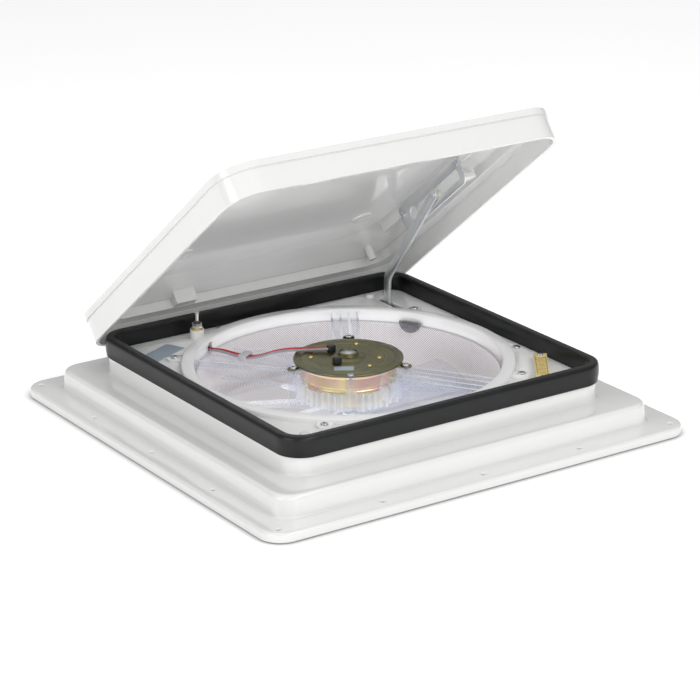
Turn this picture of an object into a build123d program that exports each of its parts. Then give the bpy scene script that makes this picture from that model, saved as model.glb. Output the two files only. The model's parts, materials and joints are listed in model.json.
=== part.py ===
# Roof vent cover with a 12 volt extractor fan, for a square caravan roof opening.
# Z is up, Z = 0 is the roof skin under the flange, the hinge is towards +Y.
# The lid stands open at its rest position.
import math
import os

from build123d import *

os.makedirs("parts", exist_ok=True)

# ---------- overall sizes ----------
flange_size = 500.0
opening_size = 355.6
flange_thickness = 3.0
flange_height = 9.3
flange_corner = 24.0
wall = 3.0
lower_step_size = 447.0
lower_step_top_size = 442.0
lower_step_height = 30.9
lower_corner = 20.0
upper_step_size = 375.0
shelf_height = 49.8
neck_depth = 28.0
neck_wall = 2.8
opening_fit = 1.0

# ---------- rim seal and deck ----------
seal_size = 381.8
seal_width = 10.9
seal_top = 71.0
upstand_wall = 2.6
upstand_height = 13.2
seal_fit = 0.05
seal_corner = 28.0
upper_corner = 24.0
deck_thickness = 3.2
deck_gap = 0.3

# Screws through the deck's edge into the shelf under it.
shelf_inner = 168.0
deck_screw_reach = 171.0
screw_radius = 2.0
head_radius = 4.0
screw_length = 7.5

# ---------- fan opening ----------
duct_radius = 159.0
duct_wall_thickness = 2.6
ring_width = 14.0
ring_top = 58.5
ring_thickness = 3.0
lip_depth = 12.5
ear_radius = 8.0
ear_circle = 181.0
ear_angles = (33.0, 141.0, 229.0, 313.0)

# ---------- lid ----------
open_angle = 38.0
hinge_y = 195.0
hinge_z = 44.0
lid_size = 392.6
lid_wall = 3.0
rim_height = 52.0
skirt_height = 25.0
skirt_draft = 2.3
lip_overhang = 2.0
lip_height = 8.0
crown_height = 16.0
crown_size_x = 300.0
crown_size_y = 268.0
ledge_height = 20.0
ledge_inner_size = 352.0
corner_radius = 34.0

# ---------- lift gear ----------
arm_x = 145.0
arm_thickness = 3.0
arm_width = 11.0
arm_pivot_y = 140.0
arm_pivot_z = 34.0
arm_bend_z = 83.0
slot_height = 33.0
pin_reach = 207.0
slot_width = 11.3
slot_start = 157.0
slot_end = 256.0
keyhole_radius = 8.0
bushing_radius = 4.0
pin_radius = 2.5
plate_thickness = 2.0
wheel_radius = 13.2
worm_radius = 6.5
worm_distance = 20.0
worm_x = 133.0
shaft_radius = 4.0

# ---------- motor and fan ----------
motor_radius = 49.5
motor_top = 60.0
motor_bottom = 24.0
plate_radius = 57.0
plate_sheet = 1.6
motor_ear_circle = 64.0
motor_ear_angles = (56.0, 175.0, -57.0)
arm_angles = (58.0, 135.0, -61.0)
arm_widths = (30.0, 50.0, 40.0)
arm_top = 56.0
web_thickness = 2.4
cup_wall = 2.4
cup_top = 38.0
cup_bottom = 20.0
blade_count = 10
blade_gap = 13.0
blade_z = 9.0
hub_radius = 24.0
hub_height = 16.0

# ---------- inner panel ----------
panel_bottom = -12.0
panel_thickness = 2.5

# ---------- sizes worked out from the ones above ----------
flange_half = flange_size / 2
neck_half = opening_size / 2 - opening_fit
neck_inner = neck_half - neck_wall
upper_half = upper_step_size / 2
seal_half = seal_size / 2
seal_inner = seal_half - seal_width
upstand_outer = upper_half - 0.9
upstand_inner = upstand_outer - upstand_wall
deck_half = seal_inner - deck_gap
deck_top = shelf_height + deck_thickness
ring_outer = duct_radius + ring_width
duct_outer = duct_radius + 0.8 + duct_wall_thickness
blade_tip = duct_radius - blade_gap
panel_top = panel_bottom + panel_thickness
plate_low = motor_top - plate_sheet
worm_y = arm_pivot_y - worm_distance
lean = math.radians(open_angle)
pin_y = hinge_y - pin_reach * math.cos(lean) + slot_height * math.sin(lean)
pin_z = hinge_z + pin_reach * math.sin(lean) + slot_height * math.cos(lean)
lid_depth = skirt_height + lip_height
pocket = (rim_height - hinge_z)

# The lid's own plane: its origin is on the hinge axis, its Y runs back across the lid.
lid_plane = Plane(
    origin=(0, hinge_y, hinge_z), x_dir=(1, 0, 0), z_dir=(0, math.sin(lean), math.cos(lean))
)


def lid_level(height):
    """A plane across the lid, at a height above the closed lid's rim."""
    return lid_plane.offset(pocket + height)


def lid_side(x):
    """A plane square to the hinge axis, turned with the lid."""
    return Plane(
        origin=(x, hinge_y, hinge_z),
        x_dir=(0, math.cos(lean), -math.sin(lean)),
        z_dir=(1, 0, 0),
    )


def side_plane(x):
    """A plane square to the hinge axis, upright, with Y across and Z up."""
    return Plane(origin=(x, 0, 0), x_dir=(0, 1, 0), z_dir=(1, 0, 0))


def square_ring(outer, inner, radius, bottom, top):
    """A square frame with rounded corners between two heights."""
    inner_radius = max(radius - (outer - inner), 1.0)
    with BuildSketch(Plane.XY.offset(bottom)) as frame_shape:
        RectangleRounded(2 * outer, 2 * outer, radius)
        RectangleRounded(2 * inner, 2 * inner, inner_radius, mode=Mode.SUBTRACT)
    extrude(frame_shape.sketch, amount=top - bottom)


def save(piece, name):
    """Names a finished piece and writes it."""
    piece.part.label = name
    export_step(piece.part, "parts/" + name + ".step")


def at_angle(radius, angle):
    """A point on a circle around the fan's axis."""
    turn = math.radians(angle)
    return (radius * math.cos(turn), radius * math.sin(turn))


# Flange holes: five along each side, the corner ones shared.
hole_reach = flange_half - 15.0
hole_steps = (-hole_reach, -118.0, 0.0, 118.0, hole_reach)
flange_holes = []
for step_x in hole_steps:
    for step_y in hole_steps:
        if max(abs(step_x), abs(step_y)) == hole_reach:
            flange_holes.append((step_x, step_y))

deck_screw_points = []
for side in (-1, 1):
    deck_screw_points.append((-deck_screw_reach, side * 60.0))
    deck_screw_points.append((side * 60.0, -deck_screw_reach))
deck_screw_points += [(deck_screw_reach, -60.0), (deck_screw_reach, 52.0)]
deck_screw_points += [(-52.0, deck_screw_reach), (60.0, deck_screw_reach)]

hinge_stations = (-110.0, 110.0)
ear_width = 6.0
lug_width = 18.0
ear_offset = lug_width / 2 + 0.3 + ear_width / 2

# ---------- roof base ----------
# The flange and the lower step, which leans in slightly towards its top.
with BuildPart() as roof_base:
    with BuildSketch(Plane.XY.offset(flange_height - flange_thickness)):
        RectangleRounded(flange_size, flange_size, flange_corner)
        RectangleRounded(
            lower_step_size - 2 * wall, lower_step_size - 2 * wall, lower_corner - wall, mode=Mode.SUBTRACT
        )
    extrude(amount=flange_thickness)
    square_ring(flange_half, flange_half - wall, flange_corner, 0, flange_height)
    with BuildSketch(Plane.XY):
        with Locations(*flange_holes):
            Circle(6)
    extrude(amount=flange_height)
    with BuildSketch(Plane.XY.offset(flange_height - flange_thickness)):
        RectangleRounded(lower_step_size, lower_step_size, lower_corner)
    with BuildSketch(Plane.XY.offset(lower_step_height)):
        RectangleRounded(lower_step_top_size, lower_step_top_size, lower_corner)
    loft()
    with BuildSketch(Plane.XY.offset(flange_height - flange_thickness)):
        RectangleRounded(lower_step_size - 2 * wall, lower_step_size - 2 * wall, lower_corner - wall)
    with BuildSketch(Plane.XY.offset(lower_step_height - wall)):
        RectangleRounded(
            lower_step_top_size - 2 * wall, lower_step_top_size - 2 * wall, lower_corner - wall
        )
    loft(mode=Mode.SUBTRACT)
    with BuildSketch(Plane.XY.offset(lower_step_height - wall)):
        RectangleRounded(upper_step_size - 2 * wall, upper_step_size - 2 * wall, upper_corner - wall)
    extrude(amount=wall, mode=Mode.SUBTRACT)
    with BuildSketch(Plane.XY.offset(-1)):
        with Locations(*flange_holes):
            Circle(2.4)
    extrude(amount=flange_height + 2, mode=Mode.SUBTRACT)
save(roof_base, "roof_base")

# The upper frame is bonded on the lower step, and carries the seal, the deck and the hinge.
with BuildPart() as upper_frame:
    square_ring(upper_half, upper_half - wall, upper_corner, lower_step_height, shelf_height)
    with BuildSketch(Plane.XY.offset(shelf_height - wall)):
        RectangleRounded(upper_step_size, upper_step_size, upper_corner)
        RectangleRounded(2 * shelf_inner, 2 * shelf_inner, 8, mode=Mode.SUBTRACT)
        with Locations(*deck_screw_points):
            Circle(screw_radius + 0.02, mode=Mode.SUBTRACT)
    extrude(amount=wall)
    square_ring(upstand_outer, upstand_inner, upper_corner, shelf_height, shelf_height + upstand_height)
    # Hinge ears on the back wall.
    for station in hinge_stations:
        for side in (-1, 1):
            with BuildSketch(side_plane(station + side * ear_offset - ear_width / 2)):
                with Locations((hinge_y, hinge_z)):
                    Circle(5)
                with Locations(((upper_half + hinge_y) / 2 - 0.2, hinge_z)):
                    Rectangle(hinge_y - upper_half + 0.4, 10)
            extrude(amount=ear_width)
            with BuildSketch(side_plane(station + side * ear_offset - ear_width / 2)):
                with Locations((hinge_y, hinge_z)):
                    Circle(pin_radius + 0.02)
            extrude(amount=ear_width, mode=Mode.SUBTRACT)
save(upper_frame, "upper_frame")

# The neck hangs from the shelf down through the roof, with a ledge inside for the inner panel.
with BuildPart() as neck_frame:
    square_ring(neck_half, neck_inner, 14, -neck_depth, shelf_height - wall)
    square_ring(neck_inner + 0.5, neck_inner - 6, 11, panel_top, panel_top + 2.4)
save(neck_frame, "neck_frame")

# ---------- rim seal ----------
with BuildPart() as rim_seal:
    square_ring(seal_half, seal_inner, seal_corner, shelf_height, seal_top)
    fillet(rim_seal.edges().group_by(Axis.Z)[-1], 3.0)
    with BuildSketch(Plane.XY.offset(shelf_height)):
        groove_outer = upstand_outer + seal_fit
        groove_inner = upstand_inner - seal_fit
        RectangleRounded(2 * groove_outer, 2 * groove_outer, upper_corner + seal_fit)
        RectangleRounded(
            2 * groove_inner, 2 * groove_inner, upper_corner - upstand_wall - seal_fit, mode=Mode.SUBTRACT
        )
    extrude(amount=upstand_height + seal_fit, mode=Mode.SUBTRACT)
save(rim_seal, "rim_seal")

# ---------- deck plate ----------
switch_x = -86.0
switch_y = 160.0
switch_boss_top = 63.0
barrel_radius = 4.0
arm_slot_front = 104.0
arm_slot_back = 158.0
cap_points = [(139.0, 166.0), (-147.0, -145.0)]
sensor_x = 147.0
sensor_y = -135.0
sensor_turn = 55.5
sensor_length = 76.0
sensor_width = 14.0
sensor_lift = 5.4
sensor_height = deck_top + sensor_lift
wire_gate_angle = 122.9
with BuildPart() as deck_plate:
    with BuildSketch(Plane.XY.offset(shelf_height)):
        RectangleRounded(2 * deck_half, 2 * deck_half, seal_corner - seal_width + 1)
        Circle(duct_outer + 0.3, mode=Mode.SUBTRACT)
        with Locations((arm_x, (arm_slot_front + arm_slot_back) / 2)):
            Rectangle(arm_thickness + 4.4, arm_slot_back - arm_slot_front, mode=Mode.SUBTRACT)
        with Locations(*deck_screw_points):
            Circle(screw_radius + 0.1, mode=Mode.SUBTRACT)
        with Locations(*[at_angle(ear_circle, angle) for angle in ear_angles]):
            Circle(screw_radius + 0.05, mode=Mode.SUBTRACT)
    extrude(amount=deck_thickness)
    with BuildSketch(Plane.XY.offset(deck_top)):
        with Locations((switch_x, switch_y)):
            Circle(7.5)
    extrude(amount=switch_boss_top - deck_top)
    with BuildSketch(Plane.XY.offset(shelf_height)):
        with Locations((switch_x, switch_y)):
            Circle(barrel_radius + 0.05)
    extrude(amount=switch_boss_top - shelf_height, mode=Mode.SUBTRACT)
    with BuildSketch(Plane.XY.offset(shelf_height)):
        with Locations(*[(x, y) for x, y in cap_points]):
            Circle(2.6)
    extrude(amount=deck_thickness, mode=Mode.SUBTRACT)
save(deck_plate, "deck_plate")

# Eight screws hold the deck on posts, and four more go through the fan ring's ears.
ear_thickness = 2.6
screw_seats = [(point, deck_top) for point in deck_screw_points]
for angle in ear_angles:
    screw_seats.append((at_angle(ear_circle, angle), deck_top + ear_thickness))
with BuildPart() as deck_screws:
    for point, seat in screw_seats:
        with BuildSketch(Plane.XY.offset(seat)):
            with Locations(point):
                Circle(head_radius)
        extrude(amount=1.9)
        with BuildSketch(Plane.XY.offset(seat - screw_length)):
            with Locations(point):
                Circle(screw_radius)
        extrude(amount=screw_length)
        with BuildSketch(Plane.XY.offset(seat + 1.9)):
            with Locations(point):
                Rectangle(4.8, 0.9)
                Rectangle(0.9, 4.8)
        extrude(amount=-1.0, mode=Mode.SUBTRACT)
save(deck_screws, "deck_screws")

with BuildPart() as screw_caps:
    for point in cap_points:
        with BuildSketch(Plane.XY.offset(deck_top)):
            with Locations(point):
                Circle(5.0)
        extrude(amount=4.0)
        with BuildSketch(Plane.XY.offset(shelf_height)):
            with Locations(point):
                Circle(2.5)
        extrude(amount=deck_thickness)
    fillet(screw_caps.edges().group_by(Axis.Z)[-1], 2.6)
save(screw_caps, "screw_caps")

# ---------- fan ring, duct and screen ----------
with BuildPart() as fan_ring:
    with BuildSketch(Plane.XZ):
        with BuildLine():
            Polyline(
                (duct_radius, ring_top - lip_depth),
                (duct_radius, ring_top - 1.2),
                (duct_radius + 1.2, ring_top),
                (ring_outer - 1.2, ring_top),
                (ring_outer, ring_top - 1.2),
                (ring_outer, deck_top),
                (ring_outer - 2.5, deck_top),
                (ring_outer - 2.5, ring_top - ring_thickness),
                (duct_radius + 2.5, ring_top - ring_thickness),
                (duct_radius + 2.5, ring_top - lip_depth),
                close=True,
            )
        make_face()
    revolve(axis=Axis.Z)
    with BuildSketch(Plane.XY.offset(deck_top)):
        for angle in ear_angles:
            with Locations(at_angle(ear_circle, angle)):
                Circle(ear_radius)
            with Locations(at_angle(ear_circle - 5, angle)):
                Rectangle(9, 2 * ear_radius, rotation=angle)
    extrude(amount=ear_thickness)
    with BuildSketch(Plane.XY.offset(deck_top)):
        Circle(ring_outer - 2.5)
    extrude(amount=ring_top - ring_thickness - deck_top, mode=Mode.SUBTRACT)
    with BuildSketch(Plane.XY.offset(ring_top - lip_depth)):
        Circle(duct_radius + 2.5)
        Circle(duct_radius, mode=Mode.SUBTRACT)
    extrude(amount=lip_depth - 1.5)
    with BuildSketch(Plane.XY.offset(deck_top - 1)):
        with Locations(*[at_angle(ear_circle, angle) for angle in ear_angles]):
            Circle(screw_radius + 0.05)
    extrude(amount=5, mode=Mode.SUBTRACT)
    # A gate in the lip lets the motor leads out under the ring.
    with BuildSketch(Plane.XY.offset(ring_top - lip_depth)):
        with Locations(at_angle(duct_radius + 1, wire_gate_angle)):
            Rectangle(10, 11, rotation=wire_gate_angle)
    extrude(amount=lip_depth - ring_thickness, mode=Mode.SUBTRACT)
save(fan_ring, "fan_ring")

duct_top = ring_top - lip_depth
with BuildPart() as air_duct:
    with BuildSketch(Plane.XY.offset(panel_top)):
        Circle(duct_outer)
        Circle(duct_outer - duct_wall_thickness, mode=Mode.SUBTRACT)
    extrude(amount=duct_top - panel_top)
save(air_duct, "air_duct")

screen_radius = duct_radius - 1.6
with BuildPart() as screen_mesh:
    with BuildSketch(Plane.XY.offset(panel_top + 2)):
        Circle(screen_radius)
    extrude(amount=duct_top - 1 - panel_top - 2)
    with BuildSketch(Plane.XY.offset(panel_top + 2.8)):
        Circle(screen_radius - 0.8)
    extrude(amount=2 * duct_top, mode=Mode.SUBTRACT)
save(screen_mesh, "screen_mesh")

# ---------- motor mount: clear cup on three arms ----------
with BuildPart() as motor_mount:
    with BuildSketch(Plane.XY.offset(cup_bottom)):
        Circle(motor_radius + 0.3 + cup_wall)
    extrude(amount=cup_top - cup_bottom)
    with BuildSketch(Plane.XY.offset(cup_bottom)):
        for rib in range(12):
            with Locations(at_angle(motor_radius + cup_wall + 1.2, 30 * rib + 12)):
                Rectangle(4.4, 2.6, rotation=30 * rib + 12)
    extrude(amount=cup_top - cup_bottom)
    # Arms: webs that rise from the cup to the ring's lip, joined by a floor.
    for angle, width in zip(arm_angles, arm_widths):
        turn = math.radians(angle)
        web_shares = (-0.5, 0.5) if angle == arm_angles[1] else (-0.5, -0.17, 0.17, 0.5)
        for share in web_shares:
            shift = share * (width - web_thickness)
            outer_reach = math.sqrt(duct_radius ** 2 - shift ** 2) - 0.3
            web_plane = Plane(
                origin=(-shift * math.sin(turn), shift * math.cos(turn), 0),
                x_dir=(math.cos(turn), math.sin(turn), 0),
                z_dir=(math.sin(turn), -math.cos(turn), 0),
            )
            with BuildSketch(web_plane):
                with BuildLine():
                    Polyline(
                        (motor_radius - 8, cup_bottom + 6),
                        (outer_reach, duct_top + 0.6),
                        (outer_reach, arm_top),
                        (motor_radius - 8, arm_top - 3),
                        close=True,
                    )
                make_face()
            extrude(amount=web_thickness / 2, both=True)
        with BuildSketch(Plane.XY.offset(duct_top + 0.6)):
            with Locations(at_angle(113, angle)):
                Rectangle(100, width, rotation=angle)
        extrude(amount=2.2)
    # Posts under the motor plate's ears, and one more screw post in front.
    with BuildSketch(Plane.XY.offset(cup_bottom)):
        for angle in motor_ear_angles:
            with Locations(at_angle(motor_ear_circle - 5, angle)):
                Rectangle(18, 9, rotation=angle)
            with Locations(at_angle(motor_ear_circle, angle)):
                Circle(5.2)
    extrude(amount=plate_low - cup_bottom)
    with BuildSketch(Plane.XY.offset(cup_bottom)):
        with Locations(at_angle(motor_radius + 5, -121)):
            Rectangle(8, 11, rotation=-121)
    extrude(amount=plate_low - cup_bottom)
    with BuildSketch(Plane.XY.offset(cup_bottom + 2.4)):
        Circle(motor_radius + 0.3)
    extrude(amount=60, mode=Mode.SUBTRACT)
    with BuildSketch(Plane.XY.offset(cup_bottom)):
        Circle(13)
    extrude(amount=5, mode=Mode.SUBTRACT)
    with BuildSketch(Plane.XY.offset(cup_bottom)):
        Circle(duct_radius + 20)
        Circle(duct_radius - 0.3, mode=Mode.SUBTRACT)
    extrude(amount=60, mode=Mode.SUBTRACT)
    # A notch in one web of the wiring arm lets the leads cross it.
    with BuildSketch(Plane.XY.offset(duct_top + 2.8)):
        with Locations((-82.5, 122)):
            Rectangle(22, 34, rotation=8)
    extrude(amount=20, mode=Mode.SUBTRACT)
    with BuildSketch(Plane.XY.offset(plate_low - 9)):
        with Locations(*[at_angle(motor_ear_circle, angle) for angle in motor_ear_angles]):
            Circle(1.65)
        with Locations(at_angle(motor_radius + 4.5, -121)):
            Circle(1.65)
    extrude(amount=9, mode=Mode.SUBTRACT)
save(motor_mount, "motor_mount")

# ---------- motor ----------
bearing_outer = 9.0
magnet_thickness = 6.95
rotor_gap = 1.5
magnet_outer = motor_radius - 1.55
magnet_inner = magnet_outer - magnet_thickness
rotor_radius = magnet_inner - rotor_gap
with BuildPart() as motor_plate:
    with BuildSketch(Plane.XY.offset(plate_low)):
        Circle(plate_radius)
        for angle in motor_ear_angles:
            with Locations(at_angle(motor_ear_circle, angle)):
                Circle(6.4)
            with Locations(at_angle(motor_ear_circle - 6, angle)):
                Rectangle(12, 12.8, rotation=angle)
    extrude(amount=plate_sheet)
    with BuildSketch(Plane.XY.offset(motor_top)):
        Circle(motor_radius - 2.5)
    extrude(amount=1.2)
    with BuildSketch(Plane.XY.offset(motor_top + 1.2)):
        Circle(15)
    extrude(amount=2.2, taper=20)
    with BuildSketch(Plane.XY.offset(motor_top + 3)):
        Circle(bearing_outer + 1.6)
    extrude(amount=4)
    with BuildSketch(Plane.XY.offset(plate_low)):
        Circle(bearing_outer + 0.03)
        with Locations(*[at_angle(motor_ear_circle, angle) for angle in motor_ear_angles]):
            Circle(1.7)
        with Locations(at_angle(motor_radius + 4.5, -121)):
            Circle(1.7)
    extrude(amount=20, mode=Mode.SUBTRACT)
save(motor_plate, "motor_plate")

with BuildPart() as motor_can:
    with BuildSketch(Plane.XY.offset(motor_bottom)):
        Circle(motor_radius)
    extrude(amount=plate_low - motor_bottom)
    with BuildSketch(Plane.XY.offset(motor_bottom + 1.5)):
        Circle(motor_radius - 1.5)
        Circle(bearing_outer + 1.6, mode=Mode.SUBTRACT)
    extrude(amount=40, mode=Mode.SUBTRACT)
    with BuildSketch(Plane.XY.offset(motor_bottom + 7)):
        Circle(bearing_outer + 2)
    extrude(amount=40, mode=Mode.SUBTRACT)
    with BuildSketch(Plane.XY.offset(motor_bottom)):
        Circle(bearing_outer + 0.03)
    extrude(amount=10, mode=Mode.SUBTRACT)
save(motor_can, "motor_can")

with BuildPart() as motor_bearings:
    for base in (motor_bottom + 1.0, motor_top + 0.6):
        with BuildSketch(Plane.XY.offset(base)):
            Circle(bearing_outer)
            Circle(shaft_radius + 0.02, mode=Mode.SUBTRACT)
        extrude(amount=5)
save(motor_bearings, "motor_bearings")

with BuildPart() as motor_magnets:
    with BuildSketch(Plane.XY.offset(motor_bottom + 6)):
        Circle(magnet_outer)
        Circle(magnet_inner, mode=Mode.SUBTRACT)
        Rectangle(2 * motor_radius, 14, mode=Mode.SUBTRACT)
        Rectangle(14, 2 * motor_radius, mode=Mode.SUBTRACT)
    extrude(amount=24)
save(motor_magnets, "motor_magnets")

with BuildPart() as motor_armature:
    with BuildSketch(Plane.XY.offset(motor_bottom + 9)):
        Circle(rotor_radius)
        with PolarLocations(rotor_radius - 2.5, 16):
            Rectangle(7, 3, mode=Mode.SUBTRACT)
    extrude(amount=17)
    with BuildSketch(Plane.XY.offset(motor_bottom + 26)):
        Circle(10)
        with PolarLocations(10, 24):
            Rectangle(1.2, 0.5, mode=Mode.SUBTRACT)
    extrude(amount=6)
    with BuildSketch(Plane.XY.offset(motor_bottom + 9)):
        Circle(shaft_radius + 0.02)
    extrude(amount=40, mode=Mode.SUBTRACT)
save(motor_armature, "motor_armature")

brush_low = motor_bottom + 26.6
with BuildPart() as motor_brushes:
    for side in (-1, 1):
        with BuildSketch(Plane.XY.offset(brush_low)):
            with Locations((side * 15.6, 0)):
                Rectangle(10.6, 5)
        extrude(amount=4.2)
save(motor_brushes, "motor_brushes")

with BuildPart() as brush_holder:
    with BuildSketch(Plane.XY.offset(brush_low + 4.25)):
        Circle(30)
        Circle(12, mode=Mode.SUBTRACT)
    extrude(amount=plate_low - brush_low - 4.25)
save(brush_holder, "brush_holder")

cap_spots = [(-5.0, 24.5), (-20.5, -10.0)]
cap_base = motor_top + 1.2
with BuildPart() as motor_terminals:
    for spot in cap_spots:
        with BuildSketch(Plane.XY.offset(cap_base)):
            with Locations(spot):
                RectangleRounded(8.4, 7, 1.5)
        extrude(amount=6.5)
save(motor_terminals, "motor_terminals")

with BuildPart() as motor_rivets:
    for spot in [(2.0, -36.5), (24.0, -22.0), (-33.0, 20.0), (28.0, 27.0)]:
        with BuildSketch(Plane.XY.offset(cap_base)):
            with Locations(spot):
                Circle(2.6)
        extrude(amount=1.5, taper=25)
save(motor_rivets, "motor_rivets")

with BuildPart() as motor_sticker:
    with BuildSketch(Plane.XY.offset(cap_base)):
        with Locations((-24, -28)):
            Rectangle(20, 12, rotation=-33)
    extrude(amount=0.2)
save(motor_sticker, "motor_sticker")

with BuildPart() as motor_screws:
    spots = [at_angle(motor_ear_circle, angle) for angle in motor_ear_angles]
    spots.append(at_angle(motor_radius + 4.5, -121))
    for spot in spots:
        with BuildSketch(Plane.XY.offset(motor_top)):
            with Locations(spot):
                Circle(3.6)
        extrude(amount=2.2)
        with BuildSketch(Plane.XY.offset(plate_low - 8)):
            with Locations(spot):
                Circle(1.6)
        extrude(amount=8 + plate_sheet)
        with BuildSketch(Plane.XY.offset(motor_top + 2.2)):
            with Locations(spot):
                Rectangle(4.6, 0.9)
                Rectangle(0.9, 4.6)
        extrude(amount=-1.1, mode=Mode.SUBTRACT)
save(motor_screws, "motor_screws")

# ---------- fan ----------
with BuildPart() as fan_shaft:
    shaft_low = blade_z - hub_height / 2 - 6.5
    with BuildSketch(Plane.XY.offset(shaft_low)):
        Circle(shaft_radius)
    extrude(amount=motor_top + 6 - shaft_low)
    chamfer(fan_shaft.edges().group_by(Axis.Z)[-1], 0.6)
save(fan_shaft, "fan_shaft")

with BuildPart() as fan_blades:
    with BuildSketch(Plane.XY.offset(blade_z - hub_height / 2)):
        Circle(hub_radius)
    extrude(amount=hub_height)
    for blade in range(blade_count):
        turn = math.radians(360 * blade / blade_count)
        out = (math.cos(turn), math.sin(turn), 0)
        across = (-math.sin(turn), math.cos(turn), 0)
        for reach, chord, pitch in ((hub_radius - 3, 15, 38), (blade_tip, 60, 17)):
            section = Plane(
                origin=(reach * out[0], reach * out[1], blade_z), x_dir=across, z_dir=out
            )
            with BuildSketch(section):
                Rectangle(chord, 2.0, rotation=pitch)
        loft()
    with BuildSketch(Plane.XY.offset(blade_z - hub_height / 2)):
        Circle(shaft_radius + 0.02)
    extrude(amount=hub_height, mode=Mode.SUBTRACT)
save(fan_blades, "fan_blades")

with BuildPart() as hub_nut:
    with BuildSketch(Plane.XY.offset(blade_z - hub_height / 2 - 5)):
        RegularPolygon(7, 6)
        Circle(shaft_radius + 0.02, mode=Mode.SUBTRACT)
    extrude(amount=5)
save(hub_nut, "hub_nut")

# ---------- motor leads ----------
lead_radius = 1.3
clip_x = -73.0
clip_y = 84.0
lead_paths = {
    "wire_red": [
        (-9.95, 26.0, 64.8),
        (-28.0, 41.0, 64.2),
        (-46.0, 60.0, 61.0),
        (-60.0, 76.0, 52.0),
        (clip_x + 2.6, clip_y + 2.0, 50.6),
        (-80.4, 118.0, 51.0),
        (-84.2, 134.5, 47.9),
        (-85.6, 147.5, 47.8),
        (-86.5, 152.6, 30.0),
    ],
    "wire_grey": [
        (-9.95, 22.4, 64.8),
        (-31.0, 36.0, 64.2),
        (-50.0, 56.0, 61.0),
        (-64.5, 73.0, 52.0),
        (clip_x - 2.6, clip_y - 2.0, 50.6),
        (-85.6, 117.0, 51.4),
        (-88.8, 132.6, 47.9),
        (-90.2, 147.0, 47.8),
        (-90.6, 152.6, 30.0),
    ],
}
wire_red_path = lead_paths["wire_red"]
with BuildPart() as wire_red:
    with BuildLine() as red_line:
        FilletPolyline(*wire_red_path, radius=(12, 14, 12, 12, 14, 20, 5))
    with BuildSketch(Plane(origin=red_line.line @ 0, z_dir=red_line.line % 0)):
        Circle(lead_radius)
    sweep()
save(wire_red, "wire_red")

wire_grey_path = lead_paths["wire_grey"]
with BuildPart() as wire_grey:
    with BuildLine() as grey_line:
        FilletPolyline(*wire_grey_path, radius=(12, 14, 12, 12, 14, 20, 5))
    with BuildSketch(Plane(origin=grey_line.line @ 0, z_dir=grey_line.line % 0)):
        Circle(lead_radius)
    sweep()
save(wire_grey, "wire_grey")

with BuildPart() as wire_clip:
    clip_floor = duct_top + 2.8
    with BuildSketch(Plane.XY.offset(clip_floor)):
        with Locations((clip_x, clip_y)):
            Rectangle(9, 16, rotation=-62)
    extrude(amount=6.4)
    with BuildSketch(Plane.XY.offset(clip_floor)):
        with Locations((clip_x, clip_y)):
            Rectangle(20, 12.8, rotation=-62)
    extrude(amount=5, mode=Mode.SUBTRACT)
save(wire_clip, "wire_clip")

# ---------- lid ----------
rib_x = arm_x + arm_thickness / 2 + 0.5 + plate_thickness + 0.05
rib_thickness = 3.0
mount_low = 137.0
mount_high = 261.0
ceiling = lid_depth + crown_height - 2.6
lid_lip_size = lid_size + 2 * lip_overhang
ledge_reach = hinge_y - ledge_inner_size / 2
block_x = -80.0
block_width = 26.0
block_length = 13.0
block_height = 16.0
# The skirt is the lid's lower frame, with the sealing ledge and the hinge lugs.
with BuildPart() as lid_skirt:
    with BuildSketch(lid_level(0)):
        with Locations((0, -hinge_y)):
            RectangleRounded(lid_size, lid_size, corner_radius)
    extrude(amount=skirt_height, taper=-skirt_draft)
    with BuildSketch(lid_level(0)):
        with Locations((0, -hinge_y)):
            RectangleRounded(lid_size - 2 * lid_wall, lid_size - 2 * lid_wall, corner_radius - lid_wall)
    extrude(amount=ledge_height, mode=Mode.SUBTRACT)
    with BuildSketch(lid_level(ledge_height - 1)):
        with Locations((0, -hinge_y)):
            RectangleRounded(ledge_inner_size, ledge_inner_size, corner_radius - 8)
    extrude(amount=skirt_height - ledge_height + 1, mode=Mode.SUBTRACT)
    # The stop block starts at the ledge.
    with BuildSketch(lid_level(ledge_height)):
        with Locations((block_x, -(ledge_reach + block_length / 2 - 1))):
            Rectangle(block_width, block_length)
    extrude(amount=skirt_height - ledge_height)
    # Hinge lugs under the back of the skirt.
    for station in hinge_stations:
        with BuildSketch(lid_side(station - lug_width / 2)):
            Circle(4.5)
            with Locations((1.2, 7.5)):
                Rectangle(5.8, 15)
            Circle(pin_radius + 0.05, mode=Mode.SUBTRACT)
        extrude(amount=lug_width)
save(lid_skirt, "lid_skirt")

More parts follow.
